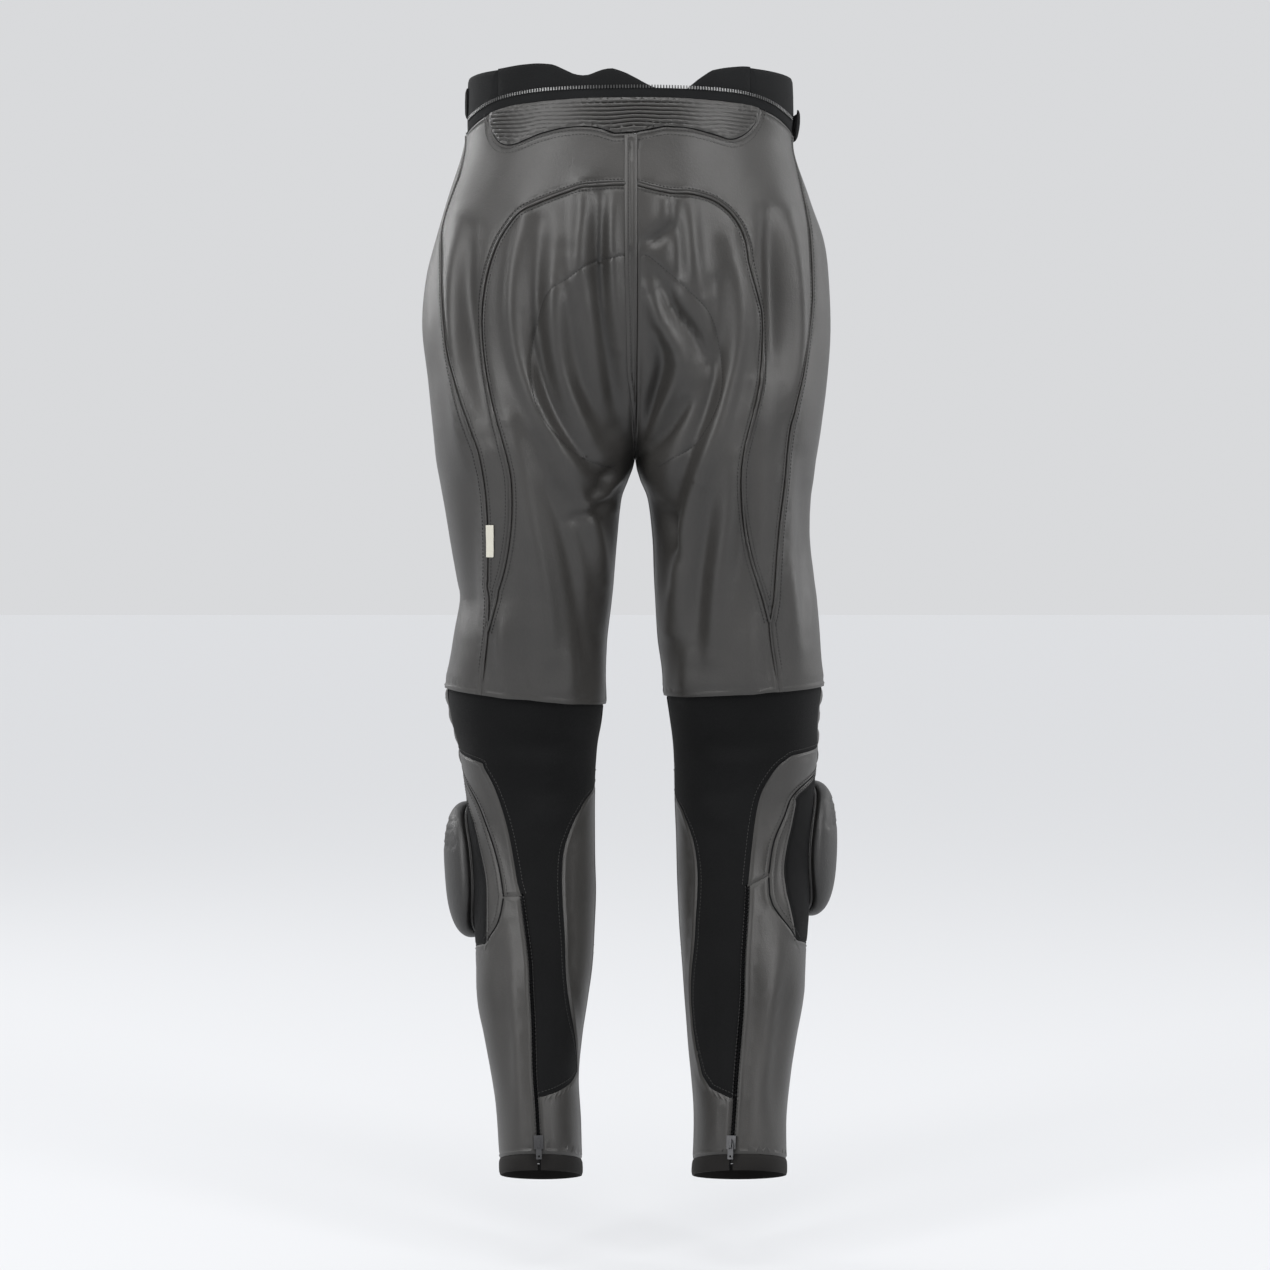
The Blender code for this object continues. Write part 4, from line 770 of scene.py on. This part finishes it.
def inside_all(outline, points):
    """Which points lie inside the outline."""
    crossings = np.zeros(len(points), dtype=int)
    x, y = points[:, 0], points[:, 1]
    for (x1, y1), (x2, y2) in zip(outline, np.roll(outline, -1, axis=0)):
        if y1 == y2:
            continue
        spans = (y1 > y) != (y2 > y)
        crossings += spans & (x < x1 + (y - y1) * (x2 - x1) / (y2 - y1))
    return crossings % 2 == 1


def clearances(lines, points):
    """The distance in millimetres from each point to the nearest of the line's stretches."""
    nearest = np.full(len(points), 1e9)
    wide = girth(points[:, 1])
    for a, b in lines:
        line = np.stack([(b[0] - a[0]) * wide, np.full(len(points), b[1] - a[1])], axis=1)
        offset = np.stack([(points[:, 0] - a[0]) * wide, points[:, 1] - a[1]], axis=1)
        part = np.sum(offset * line, axis=1) / np.maximum(np.sum(line * line, axis=1), 1e-9)
        apart = offset - np.clip(part, 0, 1)[:, None] * line
        nearest = np.minimum(nearest, np.linalg.norm(apart, axis=1))
    return nearest


def lattice(outline, pitch_u, pitch_z):
    """Staggered points inside an outline, on rows of constant height."""
    points = []
    low, high = outline[:, 1].min(), outline[:, 1].max()
    for row, z in enumerate(np.arange(high - pitch_z * 0.7, low, -pitch_z)):
        step = pitch_u / float(girth(z))
        start = math.floor(outline[:, 0].min() / step) * step + (row % 2) * step / 2
        points.extend((u, z) for u in np.arange(start, outline[:, 0].max(), step))
    points = np.array(points).reshape(-1, 2)
    points = points[inside_all(outline, points)]
    stretches = list(zip(outline, np.roll(outline, -1, axis=0)))
    return points[clearances(stretches, points) > 0.75 * min(pitch_u, pitch_z, FINE_PITCH)]


def add_mesh(name, verts, faces, look):
    """A named piece in the scene with its finish."""
    mesh = bpy.data.meshes.new(name)
    mesh.from_pydata(np.asarray(verts).tolist(), [], faces)
    mesh.shade_smooth()
    mesh.set_sharp_from_angle(angle=math.radians(45))
    thing = bpy.data.objects.new(name, mesh)
    bpy.context.scene.collection.objects.link(thing)
    mesh.materials.append(material(look))
    return thing


def follow(thing):
    """The piece rides on the garment."""
    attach(thing, BODY)
    return thing


def ribs_relief(u, z):
    """Accordion ribs across the front, above the knee."""
    part = (z - KNEE_LINE_Z) / (HEM_SIDE_Z["left"] - KNEE_LINE_Z)
    wave = np.abs(np.sin(np.pi * KNEE_RIBS * part)) ** 0.6
    fade = np.clip((u - 0.49) / 0.03, 0, 1) * np.clip((0.97 - u) / 0.05, 0, 1)
    return (KNEE_RIB + 0.8) * wave * fade


def cup_relief(u, z):
    """The padded swell over the kneecap."""
    away = ((u - CUP_U) / CUP_HALF_U) ** 2 + ((z - CUP_Z) / CUP_HALF_TALL) ** 2
    return CUP_SWELL * np.clip(1 - away, 0, 1) ** 0.7


def lumbar_foot(u):
    """The height under the lumbar panel's lowest rib."""
    lift = 9 * np.clip((np.abs(u) - 0.24) / 0.12, 0, 1) ** 2
    return LUMBAR_Z - 3 + lift + 1.1 * np.sin(34 * u + 0.6) + 0.7 * np.cos(71 * u)


def lumbar_relief(u, z):
    """Shirred ribs: tight in the middle and at the ends, soft in between."""
    low = lumbar_foot(u)
    part = LUMBAR_ROWS * (z - low) / (TOP_BACK_Z - 1 - low)
    wave = np.abs(np.sin(np.pi * part)) ** 0.55
    apart = np.abs(u)
    tight = 0.22 + 0.9 * np.exp(-(apart / 0.1) ** 4) + 0.6 * np.exp(-((apart - 0.3) / 0.06) ** 2)
    pucker = 1 + 0.25 * np.sin(u * 310 + 2.4 * np.floor(part))
    return 1.7 * wave * tight * pucker * np.clip((0.38 - apart) / 0.02, 0, 1)


def lumbar_grid():
    """Points in rows that keep to the crest, the flanks and the valley of each rib."""
    u, part = np.meshgrid(np.arange(-0.39, 0.39, 0.0065),
                          np.linspace(0, 1, LUMBAR_ROWS * 6 + 1))
    low = lumbar_foot(u)
    return np.column_stack([u.ravel(), (low + part * (TOP_BACK_Z - 1 - low)).ravel()])


RELIEFS = {"ribs": ribs_relief, "cup": cup_relief, "lumbar": lumbar_relief}


def panel(name, side, outline, look, thick=LEATHER, lift=0.0, pitch=PANEL_PITCH, pitch_z=None,
          relief=None, groove=0.85, held="stretched", lines=(), swell=0.35, flare=(),
          flare_sign=0.0, grid=None, node=None):
    """A cloth wall over an outline, with its edges rolled down into the seams."""
    outline = without_repeats(outline)
    edge = inset(side, outline, SEAM_GAP / 2)
    stretches = list(zip(edge, np.roll(edge, -1, axis=0)))
    topstitched = look == "leather" and swell > 0.2 and relief is None
    extra = [inset(side, outline, SEAM_GAP / 2 + d) for d in EDGE_RINGS]
    for line in lines:
        for shift in (-2.4, -1.0, 0.0, 1.0, 2.4):
            extra.append(beside(line, shift))
    extra = np.vstack(extra)
    extra = extra[inside_all(edge, extra)]
    extra = extra[clearances(stretches, extra) > 0.9]
    if grid is None:
        grid = lattice(edge, pitch, pitch_z or pitch)
    else:
        grid = grid[inside_all(edge, grid)]
    near = clearances(stretches, grid)
    grid = grid[near > (2.0 if relief or pitch == FINE_PITCH else EDGE_RINGS[-1] + 1.2)]
    for line in lines:
        grid = grid[clearances(list(zip(line[:-1], line[1:])), grid) > 3.4]
    points = np.vstack([edge, extra, grid])
    scale = np.array([FLAT_SCALE, 1.0])
    flat = [Vector(p) for p in (points * scale).tolist()]
    count = len(edge)
    loop = [(i, (i + 1) % count) for i in range(count)]
    verts, _, faces, *_ = delaunay_2d_cdt(flat, loop, [list(range(count))], 1, 1e-5)
    places = np.array([(v.x, v.y) for v in verts]) / scale
    u, z = places[:, 0], places[:, 1]
    place, normal = surface(side, u, z)
    apart = clearances(stretches, places)
    raised = (swell * (1 - np.exp(-(apart / SWELL_REACH) ** 2))
              - groove * np.exp(-(apart / GROOVE_REACH) ** 2))
    if topstitched:
        raised += EDGE_RELIEF * np.exp(-((apart - EDGE_RIDGE) / 1.1) ** 2)
        raised -= EDGE_RELIEF * np.exp(-((apart - STITCH_LINE) / 0.8) ** 2)
    if len(flare):
        hem = clearances(list(zip(flare[:-1], flare[1:])), places)
        raised += HEM_FLARE * flare_sign * np.exp(-(hem / HEM_REACH) ** 2)
        raised += max(flare_sign, 0) * groove * np.exp(-(hem / GROOVE_REACH) ** 2)
        raised -= max(flare_sign, 0) * 0.6 * np.exp(-((hem - HEM_STITCH) / 1.0) ** 2)
    for line in lines:
        along = clearances(list(zip(line[:-1], line[1:])), places)
        raised -= 0.7 * np.exp(-(along / 1.1) ** 2)
    if relief:
        raised += RELIEFS[relief](u, z)
    outer = place + normal * (lift + raised)[:, None]
    inner = place + normal * (lift - thick)
    if 0 <= outline[:, 0].min() and outline[:, 0].max() <= 1:
        sign = 1.0 if side == "right" else -1.0
        for skin in (outer, inner):
            skin[:, 0] = sign * np.maximum(sign * skin[:, 0], SEAM_GAP / 2)
    total = len(u)
    triangles = [tuple(f) for f in faces]
    a, b, c = (outer[[f[k] for f in triangles]] for k in range(3))
    turned = np.sum(np.cross(b - a, c - a) * normal[[f[0] for f in triangles]]) < 0
    if turned:
        triangles = [tuple(reversed(f)) for f in triangles]
    area = 0.5 * np.linalg.norm(np.cross(b - a, c - a), axis=1).sum() * MM * MM
    walls = triangles + [tuple(i + total for i in reversed(f)) for f in triangles]
    used = {(p, q) for f in triangles for p, q in zip(f, f[1:] + f[:1])}
    walls += [(q, p, p + total, q + total) for p, q in used if (q, p) not in used]
    thing = follow(add_mesh(name + "_skin", np.vstack([outer, inner]) * MM, walls, look))
    if node != "":
        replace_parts(thing, node or name)
    if held == "padded":
        return thing
    tall = np.ptp(edge[:, 1]) * MM
    wide = np.ptp(edge[:, 0]) * float(girth(edge[:, 1].mean())) * MM
    share = np.clip(area / (wide * tall), 0.4, 0.95)
    wide = max(area / (tall * share), 0.01)
    return thing


def beside(line, shift):
    """A run of points moved sideways on the surface by a real distance."""
    ahead = np.gradient(line, axis=0)
    wide = girth(line[:, 1])
    tangent = np.stack([ahead[:, 0] * wide, ahead[:, 1]], axis=1)
    tangent /= np.maximum(np.linalg.norm(tangent, axis=1, keepdims=True), 1e-9)
    aside = np.stack([-tangent[:, 1] / wide, tangent[:, 0]], axis=1)
    return line + aside * shift


def by_length(side, line, pitch):
    """Places at an even real distance along a run."""
    place, _ = surface(side, line[:, 0], line[:, 1])
    along = np.concatenate([[0], np.cumsum(np.linalg.norm(np.diff(place, axis=0), axis=1))])
    stations = np.arange(pitch / 2, along[-1], pitch)
    return np.column_stack([np.interp(stations, along, line[:, k]) for k in (0, 1)])


def frames_along(side, places, lift):
    """Origins and the three directions along, across and out of the surface."""
    place, normal = surface(side, places[:, 0], places[:, 1])
    origin = place + normal * np.reshape(lift, (-1, 1))
    tangent = np.gradient(place, axis=0)
    tangent -= normal * np.sum(tangent * normal, axis=1, keepdims=True)
    tangent /= np.maximum(np.linalg.norm(tangent, axis=1, keepdims=True), 1e-9)
    return origin, tangent, np.cross(normal, tangent), normal


def scatter(name, shape, frames, look):
    """One mesh of the same small shape at every frame."""
    verts, faces = shape
    origin, tangent, across, normal = frames
    verts = np.array(verts)
    spread = (origin[:, None] + verts[None, :, :1] * tangent[:, None]
              + verts[None, :, 1:2] * across[:, None] + verts[None, :, 2:] * normal[:, None])
    walls = [tuple(i + k * len(verts) for i in f) for k in range(len(origin)) for f in faces]
    return follow(add_mesh(name, spread.reshape(-1, 3) * MM, walls, look))


def spindle(long, thick):
    """A short rounded thread: two points and two rings of four."""
    verts = [(-long / 2, 0, -thick * 0.3)]
    for x, size in ((-long * 0.28, 1.0), (long * 0.28, 1.0)):
        for k in range(4):
            angle = math.pi / 4 + k * math.pi / 2
            verts.append((x, size * thick * math.cos(angle), size * thick * math.sin(angle)))
    verts.append((long / 2, 0, -thick * 0.3))
    faces = [(0, 1 + (k + 1) % 4, 1 + k) for k in range(4)]
    faces += [(1 + k, 1 + (k + 1) % 4, 5 + (k + 1) % 4, 5 + k) for k in range(4)]
    faces += [(9, 5 + k, 5 + (k + 1) % 4) for k in range(4)]
    return verts, faces


def tooth(long, wide, tall):
    """A small box with its top drawn in."""
    verts = [(x * long / 2 * s, y * wide / 2 * s, z) for z, s in ((0, 1.0), (tall, 0.72))
             for x, y in ((-1, -1), (1, -1), (1, 1), (-1, 1))]
    faces = [(3, 2, 1, 0), (4, 5, 6, 7)]
    faces += [(k, (k + 1) % 4, 4 + (k + 1) % 4, 4 + k) for k in range(4)]
    return verts, faces


def tube_faces(rows, around):
    """The faces between rings of equal count."""
    return [(r * around + k, r * around + (k + 1) % around, (r + 1) * around + (k + 1) % around,
             (r + 1) * around + k) for r in range(rows - 1) for k in range(around)]


def cord_along(name, side, line, radius, lift, look):
    """A thin round piping laid on the surface along a seam."""
    places = by_length(side, line, CORD_PITCH)
    origin, _, across, normal = frames_along(side, places, np.full(len(places), lift))
    around = CORD_AROUND
    verts = []
    for k in range(around):
        angle = 2 * math.pi * k / around
        verts.append(origin + (across * math.cos(angle) + normal * math.sin(angle)) * radius)
    verts = np.stack(verts, axis=1).reshape(-1, 3)
    rows = len(places)
    faces = tube_faces(rows, around)
    faces.append(tuple(range(around))[::-1])
    faces.append(tuple((rows - 1) * around + k for k in range(around)))
    return follow(add_mesh(name, verts * MM, faces, look))


def stitching(side, runs):
    """All the rows of stitches on one side, as one mesh."""
    parts = []
    for name, shift in STITCH_ROWS:
        line = beside(runs[name], shift)
        if len(line) < 3:
            continue
        places = by_length(side, line, STITCH_PITCH)
        if len(places) > 2:
            parts.append(frames_along(side, places, np.full(len(places), 0.18)))
    places = by_length(side, runs["patch"], STITCH_PITCH)
    parts.append(frames_along(side, places, np.full(len(places), -0.25)))
    frames = [np.vstack([part[k] for part in parts]) for k in range(4)]
    scatter("stitching_" + side, spindle(STITCH_LONG, STITCH_THICK), frames, "thread")


def zip_teeth(side, runs):
    """The closed calf zip's teeth, from one side and the other in turn."""
    places = by_length(side, runs["zip_line"], CALF_TOOTH_PITCH)
    lift = np.full(len(places), -1.2)
    origin, tangent, across, normal = frames_along(side, places, lift)
    turn = np.where(np.arange(len(places)) % 2 == 0, 1, -1)[:, None]
    frames = (origin + across * turn * 0.5, tangent, across, normal)
    scatter("calf_zip_teeth_" + side, tooth(*CALF_TOOTH), frames, "teeth")


def waist_teeth():
    """The open joining zip's teeth, standing up along the tape's top edge."""
    line = np.array([(u, top_edge(u) + 8.2) for u in np.linspace(-0.425, 0.425, 200)])
    places = by_length("right", line, WAIST_TOOTH_PITCH)
    origin, tangent, _, normal = frames_along("right", places, np.full(len(places), 0.1))
    up = np.cross(tangent, normal)
    up *= np.sign(up[:, 2:3])
    scatter("waist_zip_teeth", tooth(*WAIST_TOOTH), (origin, tangent, normal, up), "nickel")


def puck(side):
    """The knee slider: a hard dome on a hook-and-loop base, grooved across its upper end."""
    profile = smooth_through(PUCK_PROFILE, 3)
    spokes = PUCK_SPOKES
    middle_u, middle_z = SLIDER_PLACES[side]
    angles = np.arange(spokes) * 2 * np.pi / spokes
    bulge = 1.0 + SLIDER_BULGE * np.cos(2 * angles)
    foot, out = surface(side, np.array([middle_u]), np.array([middle_z]))
    verts = []
    for size, height in profile:
        u = middle_u + np.cos(angles) * size * bulge * SLIDER_WIDE / 2 / girth(middle_z)
        down = np.sin(angles) * size * bulge * SLIDER_TALL / 2
        place, normal = surface(side, u, middle_z + down)
        mean = normal.mean(axis=0)
        mean /= np.linalg.norm(mean)
        rise = np.full(spokes, SLIDER_SEAT - 0.4 + height * SLIDER_PROUD)
        for level in PUCK_GROOVES:
            rise -= 2.0 * (height > 0.3) * np.exp(-((down - level) / 1.5) ** 2)
        blend = normal * (1 - height) + mean * height
        verts.extend(place + blend * rise[:, None])
    count = len(profile)
    faces = tube_faces(count, spokes)
    for r, rise in ((0, SLIDER_SEAT - 0.4), (count - 1, SLIDER_SEAT - 0.4 + SLIDER_PROUD)):
        verts.append(foot[0] + out[0] * rise)
        ends = [(r * spokes + k, r * spokes + (k + 1) % spokes) for k in range(spokes)]
        faces += [(*(pair if r else pair[::-1]), len(verts) - 1) for pair in ends]
    thing = add_mesh("puck_" + side, np.array(verts) * MM, faces, "puck")
    if side == "right":
        thing.data.flip_normals()
    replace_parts(follow(thing), "knee_slider_" + side)


def set_inputs(node, values):
    """Gives a shader node its inputs: plain values, or the outputs that it reads."""
    for key, value in values.items():
        if isinstance(value, bpy.types.NodeSocket):
            node.id_data.links.new(value, node.inputs[key])
        else:
            node.inputs[key].default_value = value


def add_node(tree, kind, values, output, **settings):
    """Adds a shader node and returns one of its outputs."""
    node = tree.nodes.new("ShaderNode" + kind)
    for key, value in settings.items():
        setattr(node, key, value)
    set_inputs(node, values)
    return node.outputs[output]


def remap(tree, value, source, target, **settings):
    """Carries a value from one range over to another."""
    ends = {"From Min": source[0], "From Max": source[1], "To Min": target[0], "To Max": target[1]}
    return add_node(tree, "MapRange", {"Value": value, **ends}, "Result", **settings)


def material(look):
    """A finished surface: grain, uneven colour and roughness, all from noise in the object's space."""
    made = bpy.data.materials.get("look_" + look)
    if made:
        return made
    colour, rough, grain, depth, vary = LOOKS[look]
    made = bpy.data.materials.new("look_" + look)
    made.use_nodes = True
    tree = made.node_tree
    place = tree.nodes.new("ShaderNodeTexCoord").outputs["Object"]
    cloud = add_node(tree, "TexNoise", {"Vector": place, "Scale": CLOUD_SCALE, "Detail": 6}, "Fac")
    cells = add_node(tree, "TexVoronoi", {"Vector": place, "Scale": grain}, "Distance",
                     feature="DISTANCE_TO_EDGE" if look in ("leather", "puck") else "F1")
    fine = add_node(tree, "TexNoise", {"Vector": place, "Scale": grain * 0.45, "Detail": 4}, "Fac")
    shade = add_node(tree, "Math", {0: remap(tree, cloud, CLOUD_SPAN, (1 - vary, 1 + vary)),
                                    1: remap(tree, cells, (0.0, 0.4), CELL_SHADE)},
                     "Value", operation="MULTIPLY")
    height = add_node(tree, "Math", {0: cells, 1: fine}, "Value", operation="ADD")
    cloth = look in ("stretch", "webbing", "pile", "trim")
    set_inputs(tree.nodes["Principled BSDF"], {
        "Base Color": add_node(tree, "VectorMath", {0: colour, "Scale": shade}, "Vector",
                               operation="SCALE"),
        "Roughness": remap(tree, cloud, CLOUD_SPAN, (rough - 0.05, min(rough + 0.08, 1.0))),
        "Normal": add_node(tree, "Bump", {"Strength": depth, "Distance": GRAIN_DEPTH,
                                          "Height": height}, "Normal"),
        "Metallic": 1.0 if SLOTS.get(look, look) == "metal" else 0.0,
        "Specular IOR Level": 0.12 if cloth else 0.55,
        "Sheen Weight": 0.03 if cloth else 0.0,
    })
    return made


def leg(side, runs):
    """The panels of one side, its seams' piping, stitches, zip and puck."""
    hem = np.vstack([runs["hem_back"], runs["hem_side"][1:], runs["hem_front"][1:]])
    for row in PANELS:
        item = dict(zip(PANEL_COLUMNS, row))
        lines = [runs["patch"]] if item["name"] == "seat" else []
        flare_sign = {"seat": 1.0, "front_thigh": 1.0, "knee_stretch": -0.5}.get(item["name"], 0.0)
        panel(item["name"] + "_" + side, side, ring(runs, *item["seams"]), item["look"],
              thick=item["thick"], pitch=item["pitch"], pitch_z=item["pitch_z"],
              relief=item["relief"], held=item["held"], lines=lines,
              flare=hem if flare_sign else (), flare_sign=flare_sign)
    top = np.vstack([runs["cuff_back"], runs["cuff_front"][1:] - [1, 0],
                     runs["cuff_side"][1:] - [1, 0]])
    low = top[::-1].copy()
    low[:, 1] = CUFF_LOW_Z
    panel("hem_band_" + side, side, np.vstack([top, low]), "trim", thick=2.2, lift=0.5, pitch=5)
    split = np.array([top[0] + [0, 2.0], low[-1] + [0, 0.6]])
    cord_along("allowance_cuff_" + side, side, split, 1.0, -2.5, "stretch")
    line = evenly(runs["zip_line"], EDGE_STEP)
    half = CALF_TAPE_WIDE / 2 / girth(line[:, 1].mean())
    end = np.array([[0.0, 3.0], *[[0.0, 0.0]] * (len(line) - 2), [0.0, 2.0]])
    outline = np.vstack([line + end + [half, 0], (line + end - [half, 0])[::-1]])
    panel("calf_zip_" + side, side, outline, "webbing", thick=0.8, lift=-LEATHER - 1.0, pitch=3,
          groove=0.2, swell=0.0)
    cord_along("piping_arch_" + side, side, runs["arch"], PIPING_RADIUS, 0.25, "leather")
    outer = np.vstack([runs["out_top"], runs["out_low"][1:]])
    cord_along("piping_side_" + side, side, outer, PIPING_RADIUS * 0.8, 0.1, "leather")
    for name in BACKED_SEAMS:
        depth = -1.2 if "hem" not in name else -2.2
        cord_along("allowance_" + name + "_" + side, side, runs[name], 1.0, depth, "stretch")
    stitching(side, runs)
    zip_teeth(side, runs)
    puck(side)


def waist(runs):
    """The elastic, the joining zip's tape, the stiff side bands and the front closing."""
    behind = -LEATHER - 2 * LAYER_GAP
    step = 4.0

    def signed_outline(u_from, u_to, top, low):
        upper = level_run(u_from, u_to, top, step)
        lower = upper[::-1].copy()
        lower[:, 1] = [low(u) for u in lower[:, 0]]
        return np.vstack([upper, lower])

    def tucked(u):
        return top_edge(u if abs(u) <= 1 else 2 - u) - BAND_LAP

    ends = {side: float(runs[side]["top_lumbar"][-1][0]) for side in SIDES}
    lumbar = np.vstack([
        runs["right"]["top_lumbar"],
        runs["right"]["lumbar_low"][::-1],
        runs["left"]["lumbar_low"][1:] * [-1, 1],
        runs["left"]["top_lumbar"][::-1][1:-1] * [-1, 1],
    ])
    panel("back_lumbar", "right", lumbar, "leather", pitch=3.5, relief="lumbar",
          held="gathered", grid=lumbar_grid(), swell=0.8)
    rear = {side: ends[side] - 0.02 for side in SIDES}

    def wave(u):
        return elastic_top("right" if u >= 0 else "left", u)

    outline = signed_outline(-rear["left"], rear["right"], wave, tucked)
    panel("back_elastic", "right", outline, "webbing", thick=CLOTH, lift=behind, pitch=5)
    tape = signed_outline(-TAPE_END_U, TAPE_END_U, lambda u: top_edge(u) + TAPE_TALL, top_edge)
    panel("waist_zip_tape", "right", tape, "webbing", thick=0.9, pitch=4, groove=0.2, swell=0.0)
    for side in SIDES:
        band = signed_outline(rear[side], BAND_END_U, lambda u: BAND_TOP_Z, tucked)
        panel("waist_side_" + side, side, band, "webbing", thick=2.0, lift=behind, pitch=6)
        tab_low, tab_lift = ADJUSTER_PLACES[side]
        tab = signed_outline(*ADJUSTER_U, lambda u: tab_low + ADJUSTER_TALL, lambda u: tab_low)
        panel("waist_adjuster_" + side, side, tab, "pile", thick=2.0, lift=tab_lift, pitch=4)
    closing = signed_outline(CLOSING_U, 2 - TAB_END_U, lambda u: CLOSING_TOP_Z, lambda u: TOP_BACK_Z)
    panel("waist_tab", "right", closing, "webbing", thick=2.0, pitch=5)
    flap = signed_outline(CLOSING_U, BAND_END_U, lambda u: FLY_TOP_Z, lambda u: FLY_LOW_Z)
    panel("fly_flap", "right", flap, "leather", lift=LEATHER + 2 * LAYER_GAP, pitch=6)


def centre_welt():
    """The strip sewn over the centre back seam, a little to its left."""
    levels = np.arange(LUMBAR_Z - 2.5, WELT_LOW_Z, -4.0)
    wide = girth(levels)
    narrow = np.clip((levels - WELT_LOW_Z) / 60, 0.25, 1)
    outline = np.vstack([np.column_stack([WELT_RIGHT / wide, levels]),
                         np.column_stack([-WELT_LEFT * narrow / wide, levels])[::-1]])
    panel("centre_welt", "right", outline, "leather", thick=1.6, lift=1.7, pitch=3, groove=0.9,
          node="")
    line = np.column_stack([-(WELT_LEFT * narrow - 3.0) / wide, levels])
    places = by_length("right", line, STITCH_PITCH)
    frames = frames_along("right", places, np.full(len(places), 1.9))
    scatter("stitching_centre", spindle(STITCH_LONG, STITCH_THICK), frames, "thread")


def side_tag(runs):
    """A blank woven tag caught in the left outer seam."""
    line = np.vstack([runs["out_top"], runs["out_low"][1:]])
    zs = np.linspace(TAG_TOP_Z, TAG_TOP_Z - TAG_TALL, 10)
    us = np.interp(-zs, -line[:, 1], line[:, 0])
    width = TAG_WIDE / girth(TAG_TOP_Z)
    outline = np.vstack([np.column_stack([us, zs]), np.column_stack([us - width, zs])[::-1]])
    panel("side_tag", "left", outline, "tag", thick=0.8, lift=0.8 + LAYER_GAP, pitch=2.5,
          groove=0.15, swell=0.1)


def hardware():
    """Finishes the zip sliders and pull tabs of the frame."""
    for side in SIDES:
        for node in ("zip_slider_" + side, "zip_pull_" + side):
            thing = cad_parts[node]
            thing.data.materials.clear()
            thing.data.materials.append(material("metal"))
            soften = thing.modifiers.new("soft edges", "BEVEL")
            soften.width = 0.0003
            soften.segments = 2
            soften.limit_method = "ANGLE"


def camera():
    """The camera, level with the garment's middle and square on to its back."""
    data = bpy.data.cameras.new("camera")
    data.lens = FOCAL_PIXELS / FRAME_PIXELS * 36
    data.sensor_width = 36
    data.clip_end = 60
    thing = bpy.data.objects.new("camera", data)
    thing.location = (0, -CAMERA_DISTANCE, CAMERA_Z)
    thing.rotation_euler = (math.pi / 2 - CAMERA_TILT, 0, 0)
    bpy.context.scene.collection.objects.link(thing)
    bpy.context.scene.camera = thing


def soft_light(name, place, size, power):
    """A wide soft light turned to the garment's middle."""
    data = bpy.data.lights.new(name, "AREA")
    data.shape = "RECTANGLE"
    data.size, data.size_y = size
    data.energy = power
    thing = bpy.data.objects.new(name, data)
    thing.location = place
    thing.rotation_euler = (Vector(LIT_PLACE) - Vector(place)).to_track_quat("-Z", "Y").to_euler()
    bpy.context.scene.collection.objects.link(thing)


def studio():
    """A pale floor and backdrop, brighter overhead and darker towards the viewer."""
    bpy.ops.mesh.primitive_plane_add(size=60, location=(0, 0, FLOOR_Z))
    floor = bpy.context.object
    floor.name = "floor"
    plain = bpy.data.materials.new("floor")
    plain.use_nodes = True
    set_inputs(plain.node_tree.nodes["Principled BSDF"], {
        "Base Color": FLOOR_COLOUR, "Roughness": 0.9, "Specular IOR Level": 0.1,
        "Emission Color": FLOOR_LIGHT, "Emission Strength": FLOOR_GLOW,
    })
    floor.data.materials.append(plain)
    for light in LIGHTS:
        soft_light(*light)
    world = bpy.data.worlds.new("studio")
    world.use_nodes = True
    tree = world.node_tree
    place = tree.nodes.new("ShaderNodeTexCoord").outputs["Generated"]
    split = tree.nodes.new("ShaderNodeSeparateXYZ")
    set_inputs(split, {0: place})
    smooth = {"interpolation_type": "SMOOTHSTEP"}
    sides = remap(tree, split.outputs["Y"], (-0.5, 0.5), (BEHIND_CAMERA, BACKDROP), **smooth)
    above = remap(tree, split.outputs["Z"], (0.35, 0.95), (0.0, OVERHEAD), **smooth)
    both = add_node(tree, "Math", {0: sides, 1: above}, "Value", operation="ADD")
    tone = add_node(tree, "VectorMath", {0: BACKDROP_TINT, "Scale": both}, "Vector",
                    operation="SCALE")
    set_inputs(tree.nodes["Background"], {"Color": tone, "Strength": 1.0})
    bpy.context.scene.world = world
    bpy.context.scene.view_settings.view_transform = "Standard"


def patch_line(side):
    """The seat patch's outline in the surface's own terms."""
    seen = smooth_through(PATCHES[side], 8)
    return evenly(np.column_stack(on_back(side, seen[:, 0], seen[:, 1])), 3.0)


all_runs = {side: side_runs(side) for side in SIDES}
for side_name in SIDES:
    all_runs[side_name]["patch"] = patch_line(side_name)
    leg(side_name, all_runs[side_name])
waist(all_runs)
side_tag(all_runs["left"])
waist_teeth()
centre_welt()
hardware()
camera()
studio()
